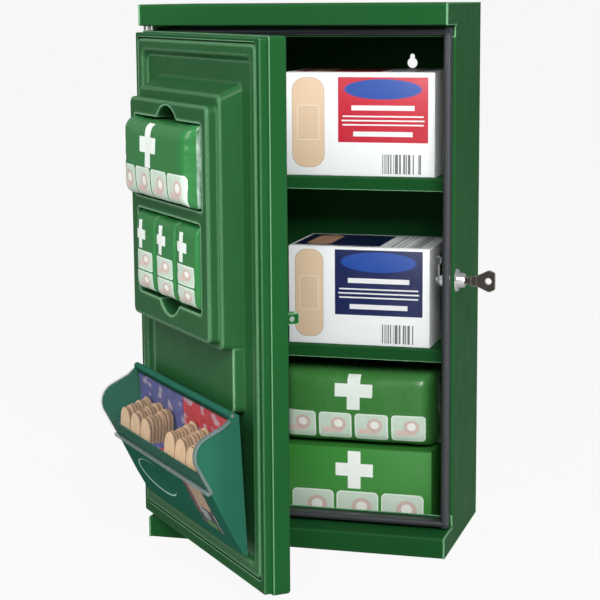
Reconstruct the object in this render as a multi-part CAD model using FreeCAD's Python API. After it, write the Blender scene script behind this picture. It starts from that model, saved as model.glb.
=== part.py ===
"""Wall-hung steel first aid cabinet with a hinged, lockable door.

The door carries a moulded liner with dressing packs and a plaster dispenser on
its outer face, and closes on a rubber seal round the locked refill store.

Frame: millimetres, +Z up, the front faces -Y, +X is the lock side. The origin
is the centre of the back face, which lies against the wall (Y = 0).
Heights named ..._height are measured up from the cabinet's underside.
On the door, u runs from its hinge edge to its free edge, v outwards from the
front face of its rim, both with the door closed.
"""
import FreeCAD, Part
import math
import os

V = FreeCAD.Vector

# Cabinet shell
width = 320.0
lower_headroom = 27.0
middle_headroom = 74.0
upper_headroom = 70.0
depth = 180.0
sheet = 1.2
bend_radius = 1.0
door_zone = 42.0
fascia_height = 21.5
flange_width = 12.0
relief_radius = 1.6

# Keyholes in the back
keyhole_spacing = 172.0
keyhole_drop = 64.5
keyhole_entry_radius = 5.5
keyhole_slot_radius = 2.6
keyhole_slot_rise = 7.2

# Shelves
shelf_setback = 20.0
shelf_lip = 13.6

# Rubber seal
seal_width = 7.0
seal_inset = 3.0
seal_door_gap = 0.9

# Door: nested pan and rim frame
rest_angle = 49.4
door_gap = 5.0
door_thickness = 26.0
rim_stand = 8.5
rim_play = 0.3
rim_back_gap = 2.8
pan_corner_radius = 2.5
pan_edge_radius = 3.0
rim_corner_radius = 2.5
rim_edge_radius = 1.0
rim_border_top = 4.0
rim_border_bottom = 10.5
rim_border_hinge = 6.0
rim_border_free = 8.0
rim_lip_depth = 6.0
rim_opening_radius = 4.0

# Hinge pins
pivot_back = 13.0
pin_radius = 2.5
pin_reach = 9.0
pin_head_gap = 0.3
pin_head_thickness = 2.5
spacer_radius = 5.5
spacer_play = 0.4
bush_radius = 4.0
bush_length = 12.0
running_clearance = 0.05
fit_clearance = 0.1

# Moulded liner on the door
liner_wall = 2.0
liner_groove = 1.5
liner_play = 0.4
liner_border = 11.0
liner_border_level = 0.5
liner_floor_level = -5.0
liner_draft = 5.0
liner_edge_radius = 2.2
liner_corner_radius = 7.0
block_top_margin = 37.0
block_step_level = 17.0
block_face_level = 28.0
block_side_step = 4.0
block_side_face = 7.0
block_top_slope = 11.0
block_face_drop = 9.5
block_bottom_slope = 3.0
terrace_level = 5.8
terrace_drop = 5.0
pocket_floor_level = 9.0
pocket_radius = 4.0
pocket_clearance = 2.0
pocket_border_top = 16.5
pocket_border_side = 12.0
pocket_border_bottom = 24.5
pocket_ledge = 12.0
notch_depth = 12.5
notch_radius = 35.0

# Dressing packs in the liner's pockets
large_pack_width = 174.0
large_pack_tall = 76.0
large_pack_thick = 32.0
small_pack_width = 52.0
small_pack_tall = 80.0
small_pack_thick = 23.0
small_pack_gap = 3.5
pack_crown_share = 0.45
pack_waist_share = 0.035
pack_play = 0.3

# Plaster dispenser
dispenser_width = 256.0
dispenser_wall = 2.2
dispenser_back_bottom = 3.4
dispenser_foot_rise = 19.5
dispenser_tall = 133.5
rail_level = 17.0
rail_radius = 3.3
rail_end_gap = 3.6
front_foot_level = 7.0
front_belly_out_share = 0.38
front_belly_up_share = 0.35
front_top_drop = 53.5
hood_shoulder_level = 27.0
hood_shoulder_drop = 8.5
hood_bend_level = 63.5
hood_bend_drop = 26.0
hood_lip_level = 39.6
hood_lip_drop = 71.0
hood_sheet = 1.8
hood_bend_radius = 20.0
hood_clearance = 0.5
hood_overhang = 1.0
hood_ear_radius = 3.8
hood_ear_thickness = 2.0
hood_ear_back_gap = 0.5
hood_pin_radius = 1.6
boss_radius = 5.0
screw_head_radius = 3.6
screw_head_thickness = 2.2
screw_radius = 1.9
screw_length = 22.0
screw_spacing = 150.0
screw_drop = 19.5
screw_bore_clearance = 0.2

# Plaster refills in the dispenser
refill_gap = 3.0
refill_card = 1.5
refill_card_drop = 7.5
refill_tray_play = 0.6
refill_tray_drop = 3.0
refill_lift = 14.0
plaster_columns = 3
plaster_rows = 8
plaster_width = 27.0
plaster_pitch = 29.0
plaster_thick = 1.8
plaster_rise = 22.0
plaster_row_rise = 1.5
plaster_row_share = 0.115

# Lock on the right-hand side wall
lock_flange_clearance = 0.3
lock_height = 280.0
lock_body_radius = 7.5
lock_bezel_radius = 12.0
lock_bezel_thickness = 2.0
lock_nose_radius = 8.7
lock_nose_tip_radius = 7.4
lock_nose_length = 9.0
lock_body_length = 15.0
nut_across_flats = 19.0
nut_thickness = 4.0
plug_radius = 5.0
plug_tail_side = 6.0
cam_thickness = 2.0
cam_width = 13.0
cam_hook_tip = 2.6
cam_hook_drop = 8.0
cam_slot_width = 6.8
cam_pin_clearance = 0.4
cam_screw_radius = 4.0
cam_screw_thickness = 2.4
cam_screw_shank_radius = 1.8
cam_screw_shank_length = 6.0

# Key
key_blade_thickness = 2.0
key_blade_tall = 7.0
key_blade_length = 18.0
key_slot_play = 0.15
key_shank_length = 6.0
key_collar_length = 5.8
key_collar_tall = 10.7
key_collar_thickness = 3.6
key_bow_length = 19.0
key_bow_tall = 22.6
key_bow_thickness = 3.0
key_hole_radius = 3.3
key_hole_share = 0.64
key_bow_corner = 3.0
key_bow_widest_share = 0.66
key_bow_end_tall = 18.0

# Keeper on the door's back for the lock cam
keeper_pin_radius = 2.0
keeper_plate_tall = 34.0
keeper_plate_sheet = 1.5
keeper_ear_gap = 8.0
keeper_pin_stand = 8.0
keeper_ear_margin = 7.0
keeper_ear_tall = 10.0
keeper_foot = 9.0
keeper_rivet_radius = 1.6
keeper_rivet_head_radius = 3.2
keeper_rivet_head = 1.4
keeper_rivet_tail_radius = 2.6

# Stored cartons and pack
content_setback = 25.0
upper_carton_width = 158.0
upper_carton_tall = 107.0
upper_carton_wall_gap = 24.8
lower_carton_width = 152.0
lower_carton_tall = 104.0
lower_carton_wall_gap = 29.3
carton_back_gap = 13.0
carton_edge_radius = 1.2
dressing_carton_width = 166.0
dressing_carton_tall = 92.5
dressing_carton_wall_gap = 26.3
stored_pack_width = 168.0
stored_pack_tall = 84.0
stored_pack_wall_gap = 24.8
stored_pack_back_gap = 21.0

overrun = 5.0

# Planes and points that several pieces share
lower_shelf_height = sheet + dressing_carton_tall + pack_play + stored_pack_tall + lower_headroom
upper_shelf_height = lower_shelf_height + lower_carton_tall + middle_headroom
height = upper_shelf_height + upper_carton_tall + upper_headroom
base = -height / 2
top = height / 2
wall_front = -(depth - door_zone)
soffit = top - fascia_height
footer_top = base + fascia_height
inner_half = width / 2 - sheet
goods_front = wall_front + content_setback

door_left = -width / 2
door_face = -depth
door_mid_u = width / 2
pan_bottom = footer_top + door_gap
pan_top = soffit - door_gap
pan_front_v = -rim_stand
pan_back_v = -door_thickness
pan_back_y = door_face - pan_back_v
pivot_inset = pan_corner_radius + bush_radius
pivot_x = door_left + pivot_inset
pin_head_radius = pivot_inset - sheet - pin_head_gap
pivot_y = door_face + pivot_back
rim_step = sheet + rim_play
rim_depth = door_thickness - sheet - rim_back_gap
rim_u0 = rim_step
rim_u1 = width - rim_step
rim_z0 = pan_bottom + rim_step
rim_z1 = pan_top - rim_step
opening_u0 = rim_u0 + rim_border_hinge
opening_u1 = rim_u1 - rim_border_free
opening_z0 = rim_z0 + rim_border_bottom
opening_z1 = rim_z1 - rim_border_top
seal_height = door_zone - door_thickness - seal_door_gap

small_pack_pitch = small_pack_width + small_pack_gap
small_packs_width = 2 * small_pack_pitch + small_pack_width
pocket_side = pocket_clearance + pocket_border_side + block_side_face
block_width = max(large_pack_width, small_packs_width) + 2 * pocket_side
block_crest = opening_z1 - block_top_margin
block_face_top = block_crest - block_top_slope - block_face_drop
large_pack_top = block_face_top - pocket_border_top - pocket_clearance
large_pack_bottom = large_pack_top - large_pack_tall
small_pack_top = large_pack_bottom - pocket_ledge - 2 * pocket_clearance
small_pack_bottom = small_pack_top - small_pack_tall
block_face_bottom = small_pack_bottom - pocket_clearance - pocket_border_bottom
block_step_bottom = block_face_bottom - block_face_drop + block_bottom_slope

dispenser_bottom_height = opening_z0 - base + dispenser_foot_rise
dispenser_back_top = rail_level - hood_ear_radius - hood_ear_back_gap - dispenser_wall
rail_height = dispenser_bottom_height + dispenser_tall
front_top_height = rail_height - front_top_drop
hood_shoulder_height = rail_height - hood_shoulder_drop
hood_bend_height = rail_height - hood_bend_drop
hood_lip_height = rail_height - hood_lip_drop
screw_height = rail_height - screw_drop
refill_card_top_height = rail_height - refill_card_drop
refill_tray_top_height = front_top_height - refill_tray_drop

lock_y = wall_front + sheet + bend_radius + nut_across_flats / 2 + lock_flange_clearance
lock_z = base + lock_height
cam_x = inner_half - lock_body_length - cam_thickness
keeper_pin_y = pan_back_y + keeper_pin_stand
cam_slot_reach = lock_y - keeper_pin_y


def box(x0, x1, y0, y1, z0, z1):
    """Box between two corners."""
    return Part.makeBox(x1 - x0, y1 - y0, z1 - z0, V(x0, y0, z0))


def door_point(u, v, z):
    """Point of the closed door."""
    return V(door_left + u, door_face - v, z)


def door_box(u0, u1, v0, v1, z0, z1):
    """Box on the closed door."""
    return box(door_left + u0, door_left + u1, door_face - v1, door_face - v0, z0, z1)


def rod(start, direction, radius, length):
    """Solid round bar."""
    return Part.makeCylinder(radius, length, start, direction)


def tube(start, direction, outer, inner, length):
    """Round bar with a bore right through."""
    return rod(start, direction, outer, length).cut(rod(start, direction, inner, length))


def polygon_face(points):
    """Flat face with straight sides."""
    return Part.Face(Part.makePolygon(points + points[:1]))


def rounded_rectangle(u0, u1, z0, z1, radius, v):
    """Rounded rectangle wire parallel to the closed door."""
    corners = [(u1 - radius, z1 - radius, 0), (u0 + radius, z1 - radius, 1)]
    corners += [(u0 + radius, z0 + radius, 2), (u1 - radius, z0 + radius, 3)]
    marks = []
    for u, z, quarter in corners:
        for step in (0, 0.5, 1):
            angle = (quarter + step) * math.pi / 2
            marks.append(door_point(u + radius * math.cos(angle), v, z + radius * math.sin(angle)))
    edges = []
    for corner in range(len(corners)):
        first, middle, last = marks[3 * corner:3 * corner + 3]
        edges.append(Part.Arc(first, middle, last).toShape())
        edges.append(Part.makeLine(last, marks[(3 * corner + 3) % len(marks)]))
    return Part.Wire(edges)


def drafted_block(low, high, radius, low_v, high_v):
    """Block between two rounded rectangles (u0, u1, z0, z1) at two levels of v."""
    wires = [rounded_rectangle(*low, radius, low_v), rounded_rectangle(*high, radius, high_v)]
    return Part.makeLoft(wires, True, True)


def grown(rectangle, by):
    """Rectangle (u0, u1, z0, z1) grown on every side."""
    u0, u1, z0, z1 = rectangle
    return (u0 - by, u1 + by, z0 - by, z1 + by)


def edges_at_level(solid, y):
    """Edges that lie wholly in one plane of constant Y."""
    found = []
    for edge in solid.Edges:
        limits = edge.BoundBox
        if abs(limits.YMin - y) < running_clearance and abs(limits.YMax - y) < running_clearance:
            found.append(edge)
    return found


def edges_along(solid, axis):
    """Straight edges that run along one axis: 0 is X, 1 is Y, 2 is Z."""
    found = []
    for edge in solid.Edges:
        if not isinstance(edge.Curve, Part.Line):
            continue
        if abs(abs(edge.tangentAt(edge.FirstParameter)[axis]) - 1) < fit_clearance:
            found.append(edge)
    return found


def folded_sheet(path, thickness, radius, place):
    """Face of a folded strip: the sheet lies left of the path, with rounded bends."""

    def side(offset):
        normals = []
        for (a0, b0), (a1, b1) in zip(path, path[1:]):
            run = math.hypot(a1 - a0, b1 - b0)
            normals.append((-(b1 - b0) / run, (a1 - a0) / run))
        first, last = path[0], path[-1]
        corners = [(first[0] + offset * normals[0][0], first[1] + offset * normals[0][1], None)]
        for (a, b), before, after in zip(path[1:-1], normals, normals[1:]):
            dot = before[0] * after[0] + before[1] * after[1]
            turn = before[0] * after[1] - before[1] * after[0]
            shift = offset / (1 + dot)
            inner = (turn > 0) == (offset > 0)
            bend = radius if inner else radius + thickness
            trim = bend * math.tan(math.acos(dot) / 2)
            corners.append((a + shift * (before[0] + after[0]), b + shift * (before[1] + after[1]), trim))
        corners.append((last[0] + offset * normals[-1][0], last[1] + offset * normals[-1][1], None))
        return corners

    def rounded(corners):
        edges = []
        start = V(corners[0][0], corners[0][1], 0)
        for (a, b, trim), after in zip(corners[1:-1], corners[2:]):
            corner = V(a, b, 0)
            back = (start - corner).normalize()
            ahead = (V(after[0], after[1], 0) - corner).normalize()
            enter = corner + back * trim
            leave = corner + ahead * trim
            half = math.acos(max(-1.0, min(1.0, back.dot(ahead)))) / 2
            bisector = (back + ahead).normalize()
            middle = corner + bisector * (trim / math.cos(half) - trim * math.tan(half))
            edges.append((start, enter))
            edges.append((enter, middle, leave))
            start = leave
        edges.append((start, V(corners[-1][0], corners[-1][1], 0)))
        return edges

    near = rounded(side(0))
    far = rounded(side(thickness))
    outline = near + [(near[-1][-1], far[-1][-1])]
    outline += [tuple(reversed(run)) for run in reversed(far)]
    outline.append((far[0][0], near[0][0]))
    edges = []
    for run in outline:
        points = [place(point.x, point.y) for point in run]
        edges.append(Part.Arc(*points).toShape() if len(points) == 3 else Part.makeLine(*points))
    return Part.Face(Part.Wire(edges))


def across_cabinet(y, z):
    """Point of a cross-section at the left inner wall."""
    return V(-inner_half, y, z)


def on_plan(x, y):
    """Point of a plan section at the underside."""
    return V(x, y, base)


def make_wrapper():
    """Back and side walls of one folded sheet, with front flanges and fascia ends."""
    inner_flange = inner_half - flange_width + sheet
    half = width / 2
    path = [(inner_flange, wall_front), (half, wall_front), (half, 0), (-half, 0)]
    path += [(-half, wall_front), (-inner_flange, wall_front)]
    walls = folded_sheet(path, sheet, bend_radius, on_plan).extrude(V(0, 0, height))
    for low, high in ((base, footer_top + flange_width), (soffit - flange_width, top)):
        walls = walls.cut(box(-inner_half, inner_half, wall_front, wall_front + flange_width, low, high))
    for left in (-half, half - sheet):
        for low, high, corner in ((base, footer_top, footer_top), (soffit, top, soffit)):
            ear = box(left, left + sheet, -depth, wall_front + flange_width, low, high)
            walls = walls.fuse(ear)
            start = V(left - overrun, wall_front, corner)
            relief = rod(start, V(1, 0, 0), relief_radius, 2 * overrun + sheet)
            walls = walls.cut(relief)
    for side in (-1, 1):
        walls = walls.cut(keyhole(side * keyhole_spacing / 2))
    hole = rod(V(inner_half - overrun, lock_y, lock_z), V(1, 0, 0), lock_body_radius, 2 * overrun)
    return walls.cut(hole).removeSplitter()


def keyhole(x):
    """Cutter for one teardrop hanging slot in the back."""
    centre = V(x, -sheet - overrun, top - keyhole_drop)
    back = V(0, 1, 0)
    through = sheet + 2 * overrun
    entry = rod(centre, back, keyhole_entry_radius, through)
    seat = rod(centre + V(0, 0, keyhole_slot_rise), back, keyhole_slot_radius, through)
    slot = box(x - keyhole_slot_radius, x + keyhole_slot_radius, centre.y, centre.y + through,
               centre.z, centre.z + keyhole_slot_rise)
    return entry.fuse([seat, slot])


def relieved(sheet_piece):
    """Notch a sheet's two rear corners to clear the bends between back and side walls."""
    for left in (-inner_half, inner_half - bend_radius):
        notch = box(left, left + bend_radius, -sheet - bend_radius, 0, base, top)
        sheet_piece = sheet_piece.cut(notch)
    return sheet_piece


def make_end_panel(outer, sign):
    """Top or bottom sheet, folded round the fascia and back to the seal flange."""
    inner = outer - sign * fascia_height
    path = [(-sheet, outer), (-depth, outer), (-depth, inner), (wall_front, inner)]
    path.append((wall_front, inner - sign * flange_width))
    if sign < 0:
        path.reverse()
    panel = folded_sheet(path, sheet, bend_radius, across_cabinet).extrude(V(2 * inner_half, 0, 0))
    reach = V(pivot_x, pivot_y, inner - sign * overrun)
    bore = rod(reach, V(0, 0, sign), pin_radius + fit_clearance, sheet + 2 * overrun)
    return relieved(panel.cut(bore))


def make_shelf(level):
    """Fixed shelf with front and rear flanges turned down."""
    front = wall_front + shelf_setback
    path = [(-sheet, level - shelf_lip), (-sheet, level), (front, level), (front, level - shelf_lip)]
    shelf = folded_sheet(path, sheet, bend_radius, across_cabinet).extrude(V(2 * inner_half, 0, 0))
    return relieved(shelf)


def seal_strip(start, along, inwards):
    """One straight run of bulb seal, square at the ends."""
    shoulder = seal_height - seal_width / 2
    out = V(0, -1, 0)
    a = start
    b = start + out * shoulder
    crown = start + out * seal_height + inwards * (seal_width / 2)
    c = b + inwards * seal_width
    d = start + inwards * seal_width
    edges = [Part.makeLine(a, b), Part.Arc(b, crown, c).toShape(), Part.makeLine(c, d), Part.makeLine(d, a)]
    return Part.Face(Part.Wire(edges)).extrude(along)


def make_seal():
    """Rubber bulb seal all round the opening, on the front flanges."""
    half = width / 2 - seal_inset
    low = footer_top + seal_inset
    high = soffit - seal_inset
    run_z = V(0, 0, high - low)
    run_x = V(2 * half, 0, 0)
    left = seal_strip(V(-half, wall_front, low), run_z, V(1, 0, 0))
    right = seal_strip(V(half, wall_front, low), run_z, V(-1, 0, 0))
    upper = seal_strip(V(-half, wall_front, high), run_x, V(0, 0, -1))
    lower = seal_strip(V(-half, wall_front, low), run_x, V(0, 0, 1))
    return left.fuse([right, upper, lower]).removeSplitter()


def make_hinge_pin(seat, sign):
    """Headed pin through a fascia sheet; sign is +1 at the top and -1 below."""
    head = rod(V(pivot_x, pivot_y, seat + sign * sheet), V(0, 0, sign), pin_head_radius, pin_head_thickness)
    tip = seat - sign * (door_gap + pin_reach)
    shank = rod(V(pivot_x, pivot_y, tip), V(0, 0, sign), pin_radius, door_gap + pin_reach + sheet)
    return head.fuse(shank).removeSplitter()


def make_spacer(seat, sign):
    """Spacer ring between a fascia and the door's edge."""
    start = V(pivot_x, pivot_y, seat)
    return tube(start, V(0, 0, -sign), spacer_radius, pin_radius + running_clearance, door_gap - spacer_play)


def make_bush(edge, sign):
    """Pivot bush inside the door, against its top or bottom wall."""
    start = V(pivot_x, pivot_y, edge - sign * sheet)
    return tube(start, V(0, 0, -sign), bush_radius, pin_radius + running_clearance, bush_length)


def swing(shape):
    """Turn a piece of the closed door to its rest angle about the hinge pins."""
    shape.rotate(V(pivot_x, pivot_y, 0), V(0, 0, 1), -rest_angle)
    return shape


def make_door_pan():
    """Folded inner tray of the door, with its bottom towards the cabinet."""
    outer = door_box(0, width, pan_back_v, pan_front_v, pan_bottom, pan_top)
    outer = outer.makeFillet(pan_corner_radius, edges_along(outer, 1))
    outer = outer.makeFillet(pan_edge_radius, edges_at_level(outer, door_face - pan_back_v))
    inner = door_box(sheet, width - sheet, pan_back_v + sheet, pan_front_v + overrun,
                     pan_bottom + sheet, pan_top - sheet)
    inner = inner.makeFillet(pan_corner_radius - sheet, edges_along(inner, 1))
    inner = inner.makeFillet(pan_edge_radius - sheet, edges_at_level(inner, door_face - pan_back_v - sheet))
    pan = outer.cut(inner)
    bore = rod(V(pivot_x, pivot_y, pan_bottom - overrun), V(0, 0, 1), pin_radius + fit_clearance,
               pan_top - pan_bottom + 2 * overrun)
    pan = pan.cut(bore)
    for z in keeper_rivet_heights():
        pan = pan.cut(rod(V(keeper_rivet_x(), door_face, z), V(0, 1, 0), keeper_rivet_radius, door_zone))
    return pan


def make_door_frame():
    """Outer rim of the door, nested in the pan, with a turned-in border and lip."""
    outer = door_box(rim_u0, rim_u1, -rim_depth, 0, rim_z0, rim_z1)
    outer = outer.makeFillet(rim_corner_radius, edges_along(outer, 1))
    outer = outer.makeFillet(rim_edge_radius, edges_at_level(outer, door_face))
    cavity = door_box(rim_u0 + sheet, rim_u1 - sheet, -rim_depth - overrun, -sheet,
                      rim_z0 + sheet, rim_z1 - sheet)
    cavity = cavity.makeFillet(rim_corner_radius - sheet, edges_along(cavity, 1))
    opening = (opening_u0, opening_u1, opening_z0, opening_z1)
    lip = drafted_block(grown(opening, sheet), grown(opening, sheet), rim_opening_radius + sheet,
                        -rim_lip_depth, 0)
    hole = drafted_block(opening, opening, rim_opening_radius, -rim_depth - overrun, overrun)
    frame = outer.cut(cavity.cut(lip)).cut(hole)
    for edge, sign in ((rim_z0, -1), (rim_z1, 1)):
        start = V(pivot_x, pivot_y, edge + sign * overrun)
        frame = frame.cut(rod(start, V(0, 0, -sign), bush_radius + fit_clearance, bush_length + 2 * overrun))
    return frame


def liner_skin(inset):
    """Solid bounded by the liner's front skin, moved back by an inset."""
    panel = grown((opening_u0, opening_u1, opening_z0, opening_z1), -liner_groove - inset)
    back = -rim_lip_depth - liner_wall - overrun
    radius = liner_corner_radius - inset
    skin = drafted_block(panel, panel, radius, back, liner_border_level - inset)
    floor = grown(panel, -liner_border - liner_draft + 2 * inset)
    mouth = grown(panel, -liner_border + 2 * inset)
    skin = skin.cut(drafted_block(floor, mouth, radius, liner_floor_level - inset, liner_border_level))
    half = block_width / 2 - inset
    u0, u1 = door_mid_u - half, door_mid_u + half
    step_u0, step_u1 = u0 + block_side_step, u1 - block_side_step
    root = liner_floor_level - inset - liner_wall
    crest = block_crest - inset
    brow = crest - block_top_slope
    foot = block_step_bottom + inset
    lower = drafted_block((u0, u1, foot - block_bottom_slope, crest), (step_u0, step_u1, foot, brow), radius,
                          root, block_step_level - inset)
    face = (u0 + block_side_face, u1 - block_side_face, block_face_bottom + inset, block_face_top - inset)
    upper = drafted_block(grown(face, block_bottom_slope), face, radius, root, block_face_level - inset)
    terrace_foot = base + rail_height - terrace_drop + inset
    terrace = drafted_block((u0, u1, terrace_foot, brow), (step_u0, step_u1, terrace_foot, brow), radius,
                            root, terrace_level - inset)
    if inset == 0:
        lower = lower.makeFillet(liner_edge_radius, edges_at_level(lower, door_face - block_step_level))
        upper = upper.makeFillet(liner_edge_radius, edges_at_level(upper, door_face - block_face_level))
        skin = skin.makeFillet(liner_edge_radius, edges_at_level(skin, door_face - liner_border_level))
    skin = skin.fuse([lower, upper, terrace])
    for pocket in pocket_rectangles():
        grown_pocket = grown(pocket, inset)
        skin = skin.cut(drafted_block(grown_pocket, grown_pocket, pocket_radius + inset,
                                      pocket_floor_level - inset, block_face_level + overrun))
    for z in notch_heights():
        start = door_point(door_mid_u, block_face_level + overrun, z)
        sink = block_face_level + overrun - pocket_floor_level + inset
        skin = skin.cut(rod(start, V(0, 1, 0), notch_radius + inset, sink))
    return skin


def pack_rectangle(u_centre, wide, bottom, tall):
    """Outline of a pack on the door."""
    return (u_centre - wide / 2, u_centre + wide / 2, bottom, bottom + tall)


def pocket_rectangles():
    """Large upper pocket and wide lower pocket of the liner."""
    large = pack_rectangle(door_mid_u, large_pack_width, large_pack_bottom, large_pack_tall)
    small = pack_rectangle(door_mid_u, small_packs_width, small_pack_bottom, small_pack_tall)
    return [grown(large, pocket_clearance), grown(small, pocket_clearance)]


def notch_heights():
    """Centres of the finger notches above the upper and below the lower pocket."""
    large, small = pocket_rectangles()
    return [large[3] + notch_depth - notch_radius, small[2] - notch_depth + notch_radius]


def make_liner():
    """Thermoformed liner: a thin skin with a flange trapped behind the rim's lip."""
    shell = liner_skin(0).cut(liner_skin(liner_wall))
    opening = (opening_u0, opening_u1, opening_z0, opening_z1)
    flange_back = -rim_lip_depth - liner_wall
    narrowest = min(rim_border_top, rim_border_bottom, rim_border_hinge, rim_border_free)
    rim = grown(opening, narrowest - sheet - liner_play)
    flange = drafted_block(rim, rim, liner_corner_radius, flange_back, -rim_lip_depth)
    inside = grown(opening, -liner_groove - liner_wall)
    hole = drafted_block(inside, inside, liner_corner_radius - liner_wall, flange_back - overrun, overrun)
    shell = shell.fuse(flange.cut(hole))
    behind = grown(rim, overrun)
    trim = drafted_block(behind, behind, liner_corner_radius, flange_back - 2 * overrun, flange_back)
    shell = shell.cut(trim)
    for side in (-1, 1):
        u = door_mid_u + side * screw_spacing / 2
        start = door_point(u, liner_floor_level + overrun, base + screw_height)
        shell = shell.cut(rod(start, V(0, 1, 0), screw_radius + screw_bore_clearance, 2 * overrun))
    return shell.removeSplitter()


def pillow(rectangle, back_v, front_v, place):
    """Soft pack: crowned front, flat back and sides drawn in between the corners."""
    u0, u1, z0, z1 = rectangle
    wide, tall, thick = u1 - u0, z1 - z0, front_v - back_v
    pull = pack_waist_share * min(wide, tall)

    def section(v, shrink):
        corners = [(u0 + shrink, z0 + shrink), (u1 - shrink, z0 + shrink)]
        corners += [(u1 - shrink, z1 - shrink), (u0 + shrink, z1 - shrink)]
        middle_u, middle_z = (u0 + u1) / 2, (z0 + z1) / 2
        draws = [(middle_u, z0 + shrink + pull), (u1 - shrink - pull, middle_z)]
        draws += [(middle_u, z1 - shrink - pull), (u0 + shrink + pull, middle_z)]
        edges = []
        for index, (a, b) in enumerate(corners):
            c, d = corners[(index + 1) % len(corners)]
            e, f = draws[index]
            edges.append(Part.Arc(place(a, v, b), place(e, v, f), place(c, v, d)).toShape())
        return Part.Wire(edges)

    crown = pack_crown_share * min(thick, wide / 3, tall / 3)
    levels = [(back_v, crown / 2), (back_v + crown / 2, 0), (front_v - crown, 0), (front_v, crown)]
    return Part.makeLoft([section(v, shrink) for v, shrink in levels], True, True)


def make_door_pack(u_centre, wide, bottom, tall, thick):
    """Soft dressing pack lying in a pocket of the liner."""
    back = pocket_floor_level + pack_play
    return pillow(pack_rectangle(u_centre, wide, bottom, tall), back, back + thick, door_point)


def dispenser_u():
    """Outer faces of the dispenser's two side walls."""
    return door_mid_u - dispenser_width / 2, door_mid_u + dispenser_width / 2


def side_section(u, points):
    """Face across the dispenser from points (v, height)."""
    return polygon_face([door_point(u, v, base + h) for v, h in points])


def back_level(h):
    """Rear face of the leaning dispenser at a height."""
    share = (h - dispenser_bottom_height) / (rail_height - dispenser_bottom_height)
    return dispenser_back_bottom + share * (dispenser_back_top - dispenser_back_bottom)


def hood_path():
    """Underside of the clear hood, from the rail over the front to its lip."""
    start = (rail_level + rail_radius + hood_clearance, rail_height - rail_radius)
    bend = (hood_bend_level, hood_bend_height)
    return [start, (hood_shoulder_level, hood_shoulder_height), bend, (hood_lip_level, hood_lip_height)]


def hood_corner(inset):
    """Meeting point of the hood's top and front planes, moved in by an inset."""
    shoulder, bend, lip = hood_path()[1:]
    normals = []
    for (v0, h0), (v1, h1) in ((shoulder, bend), (bend, lip)):
        run = math.hypot(v1 - v0, h1 - h0)
        normals.append(((h1 - h0) / run, (v0 - v1) / run))
    (av, ah), (bv, bh) = normals
    shift = inset / (1 + av * bv + ah * bh)
    return bend[0] + shift * (av + bv), bend[1] + shift * (ah + bh)


def front_outline(inset):
    """Front wall of the trough from its top edge down to its foot, moved in by an inset."""
    slope = (hood_bend_level - hood_lip_level) / (hood_bend_height - hood_lip_height)
    top_v = hood_lip_level + slope * (front_top_height - hood_lip_height)
    marks = [(top_v - hood_clearance, front_top_height), (hood_lip_level - hood_clearance, hood_lip_height)]
    belly_v = front_foot_level + front_belly_out_share * (marks[1][0] - front_foot_level)
    belly_h = dispenser_bottom_height + front_belly_up_share * (marks[1][1] - dispenser_bottom_height)
    marks += [(belly_v, belly_h), (front_foot_level, dispenser_bottom_height)]
    return [(v - inset, h) for v, h in marks]


def front_level(inset, height_here):
    """Front wall's distance out at a height, moved in by an inset."""
    marks = front_outline(inset)
    for (high_v, high_h), (low_v, low_h) in zip(marks, marks[1:]):
        if height_here >= low_h:
            share = (height_here - low_h) / (high_h - low_h)
            return low_v + share * (high_v - low_v)
    return marks[-1][0]


def make_dispenser_body():
    """Moulded trough: wedge-shaped side walls, leaning back, low front and rail seats."""
    u0, u1 = dispenser_u()
    foot = (back_level(dispenser_bottom_height), dispenser_bottom_height)
    back_top = (back_level(rail_height), rail_height)
    start, shoulder, bend = hood_path()[:3]
    brow = hood_corner(hood_clearance)
    side = [foot, back_top, (rail_level, rail_height + rail_radius), (start[0], rail_height - rail_radius)]
    side += [(shoulder[0], shoulder[1] - hood_clearance), brow] + front_outline(0)
    whole = side_section(u0, side).extrude(V(dispenser_width, 0, 0))
    ridge = door_point(u0, brow[0], base + brow[1])
    ridges = [edge for edge in edges_along(whole, 0) if edge.distToShape(Part.Vertex(ridge))[0] < fit_clearance]
    whole = whole.makeFillet(hood_bend_radius - hood_clearance, ridges)
    wall = dispenser_wall
    floor = dispenser_bottom_height + wall
    beyond = bend[0] + overrun
    hollow = [(back_level(floor) + wall, floor), (back_top[0] + wall, rail_height + overrun)]
    hollow += [(beyond, rail_height + overrun), (beyond, front_top_height)]
    hollow += front_outline(wall)[:-1] + [(front_level(wall, floor), floor)]
    inside = side_section(u0 + wall, hollow).extrude(V(dispenser_width - 2 * wall, 0, 0))
    body = whole.cut(inside)
    for u in (u0, u1 - wall):
        boss = rod(door_point(u, rail_level, base + rail_height), V(1, 0, 0), rail_radius, wall)
        bore = rod(door_point(u - overrun, rail_level, base + rail_height), V(1, 0, 0),
                   hood_pin_radius, wall + 2 * overrun)
        body = body.fuse(boss).cut(bore)
    return add_stand_offs(body).removeSplitter()


def add_stand_offs(body):
    """Rear bosses that stand the leaning back off the liner, bored for the screws."""
    h = screw_height
    for side in (-1, 1):
        u = door_mid_u + side * screw_spacing / 2
        length = back_level(h) + dispenser_wall - liner_floor_level
        start = door_point(u, liner_floor_level, base + h)
        body = body.fuse(rod(start, V(0, -1, 0), boss_radius, length))
        bore_radius = screw_radius + screw_bore_clearance
        body = body.cut(rod(start + V(0, overrun, 0), V(0, -1, 0), bore_radius, length + 2 * overrun))
    return body


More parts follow.
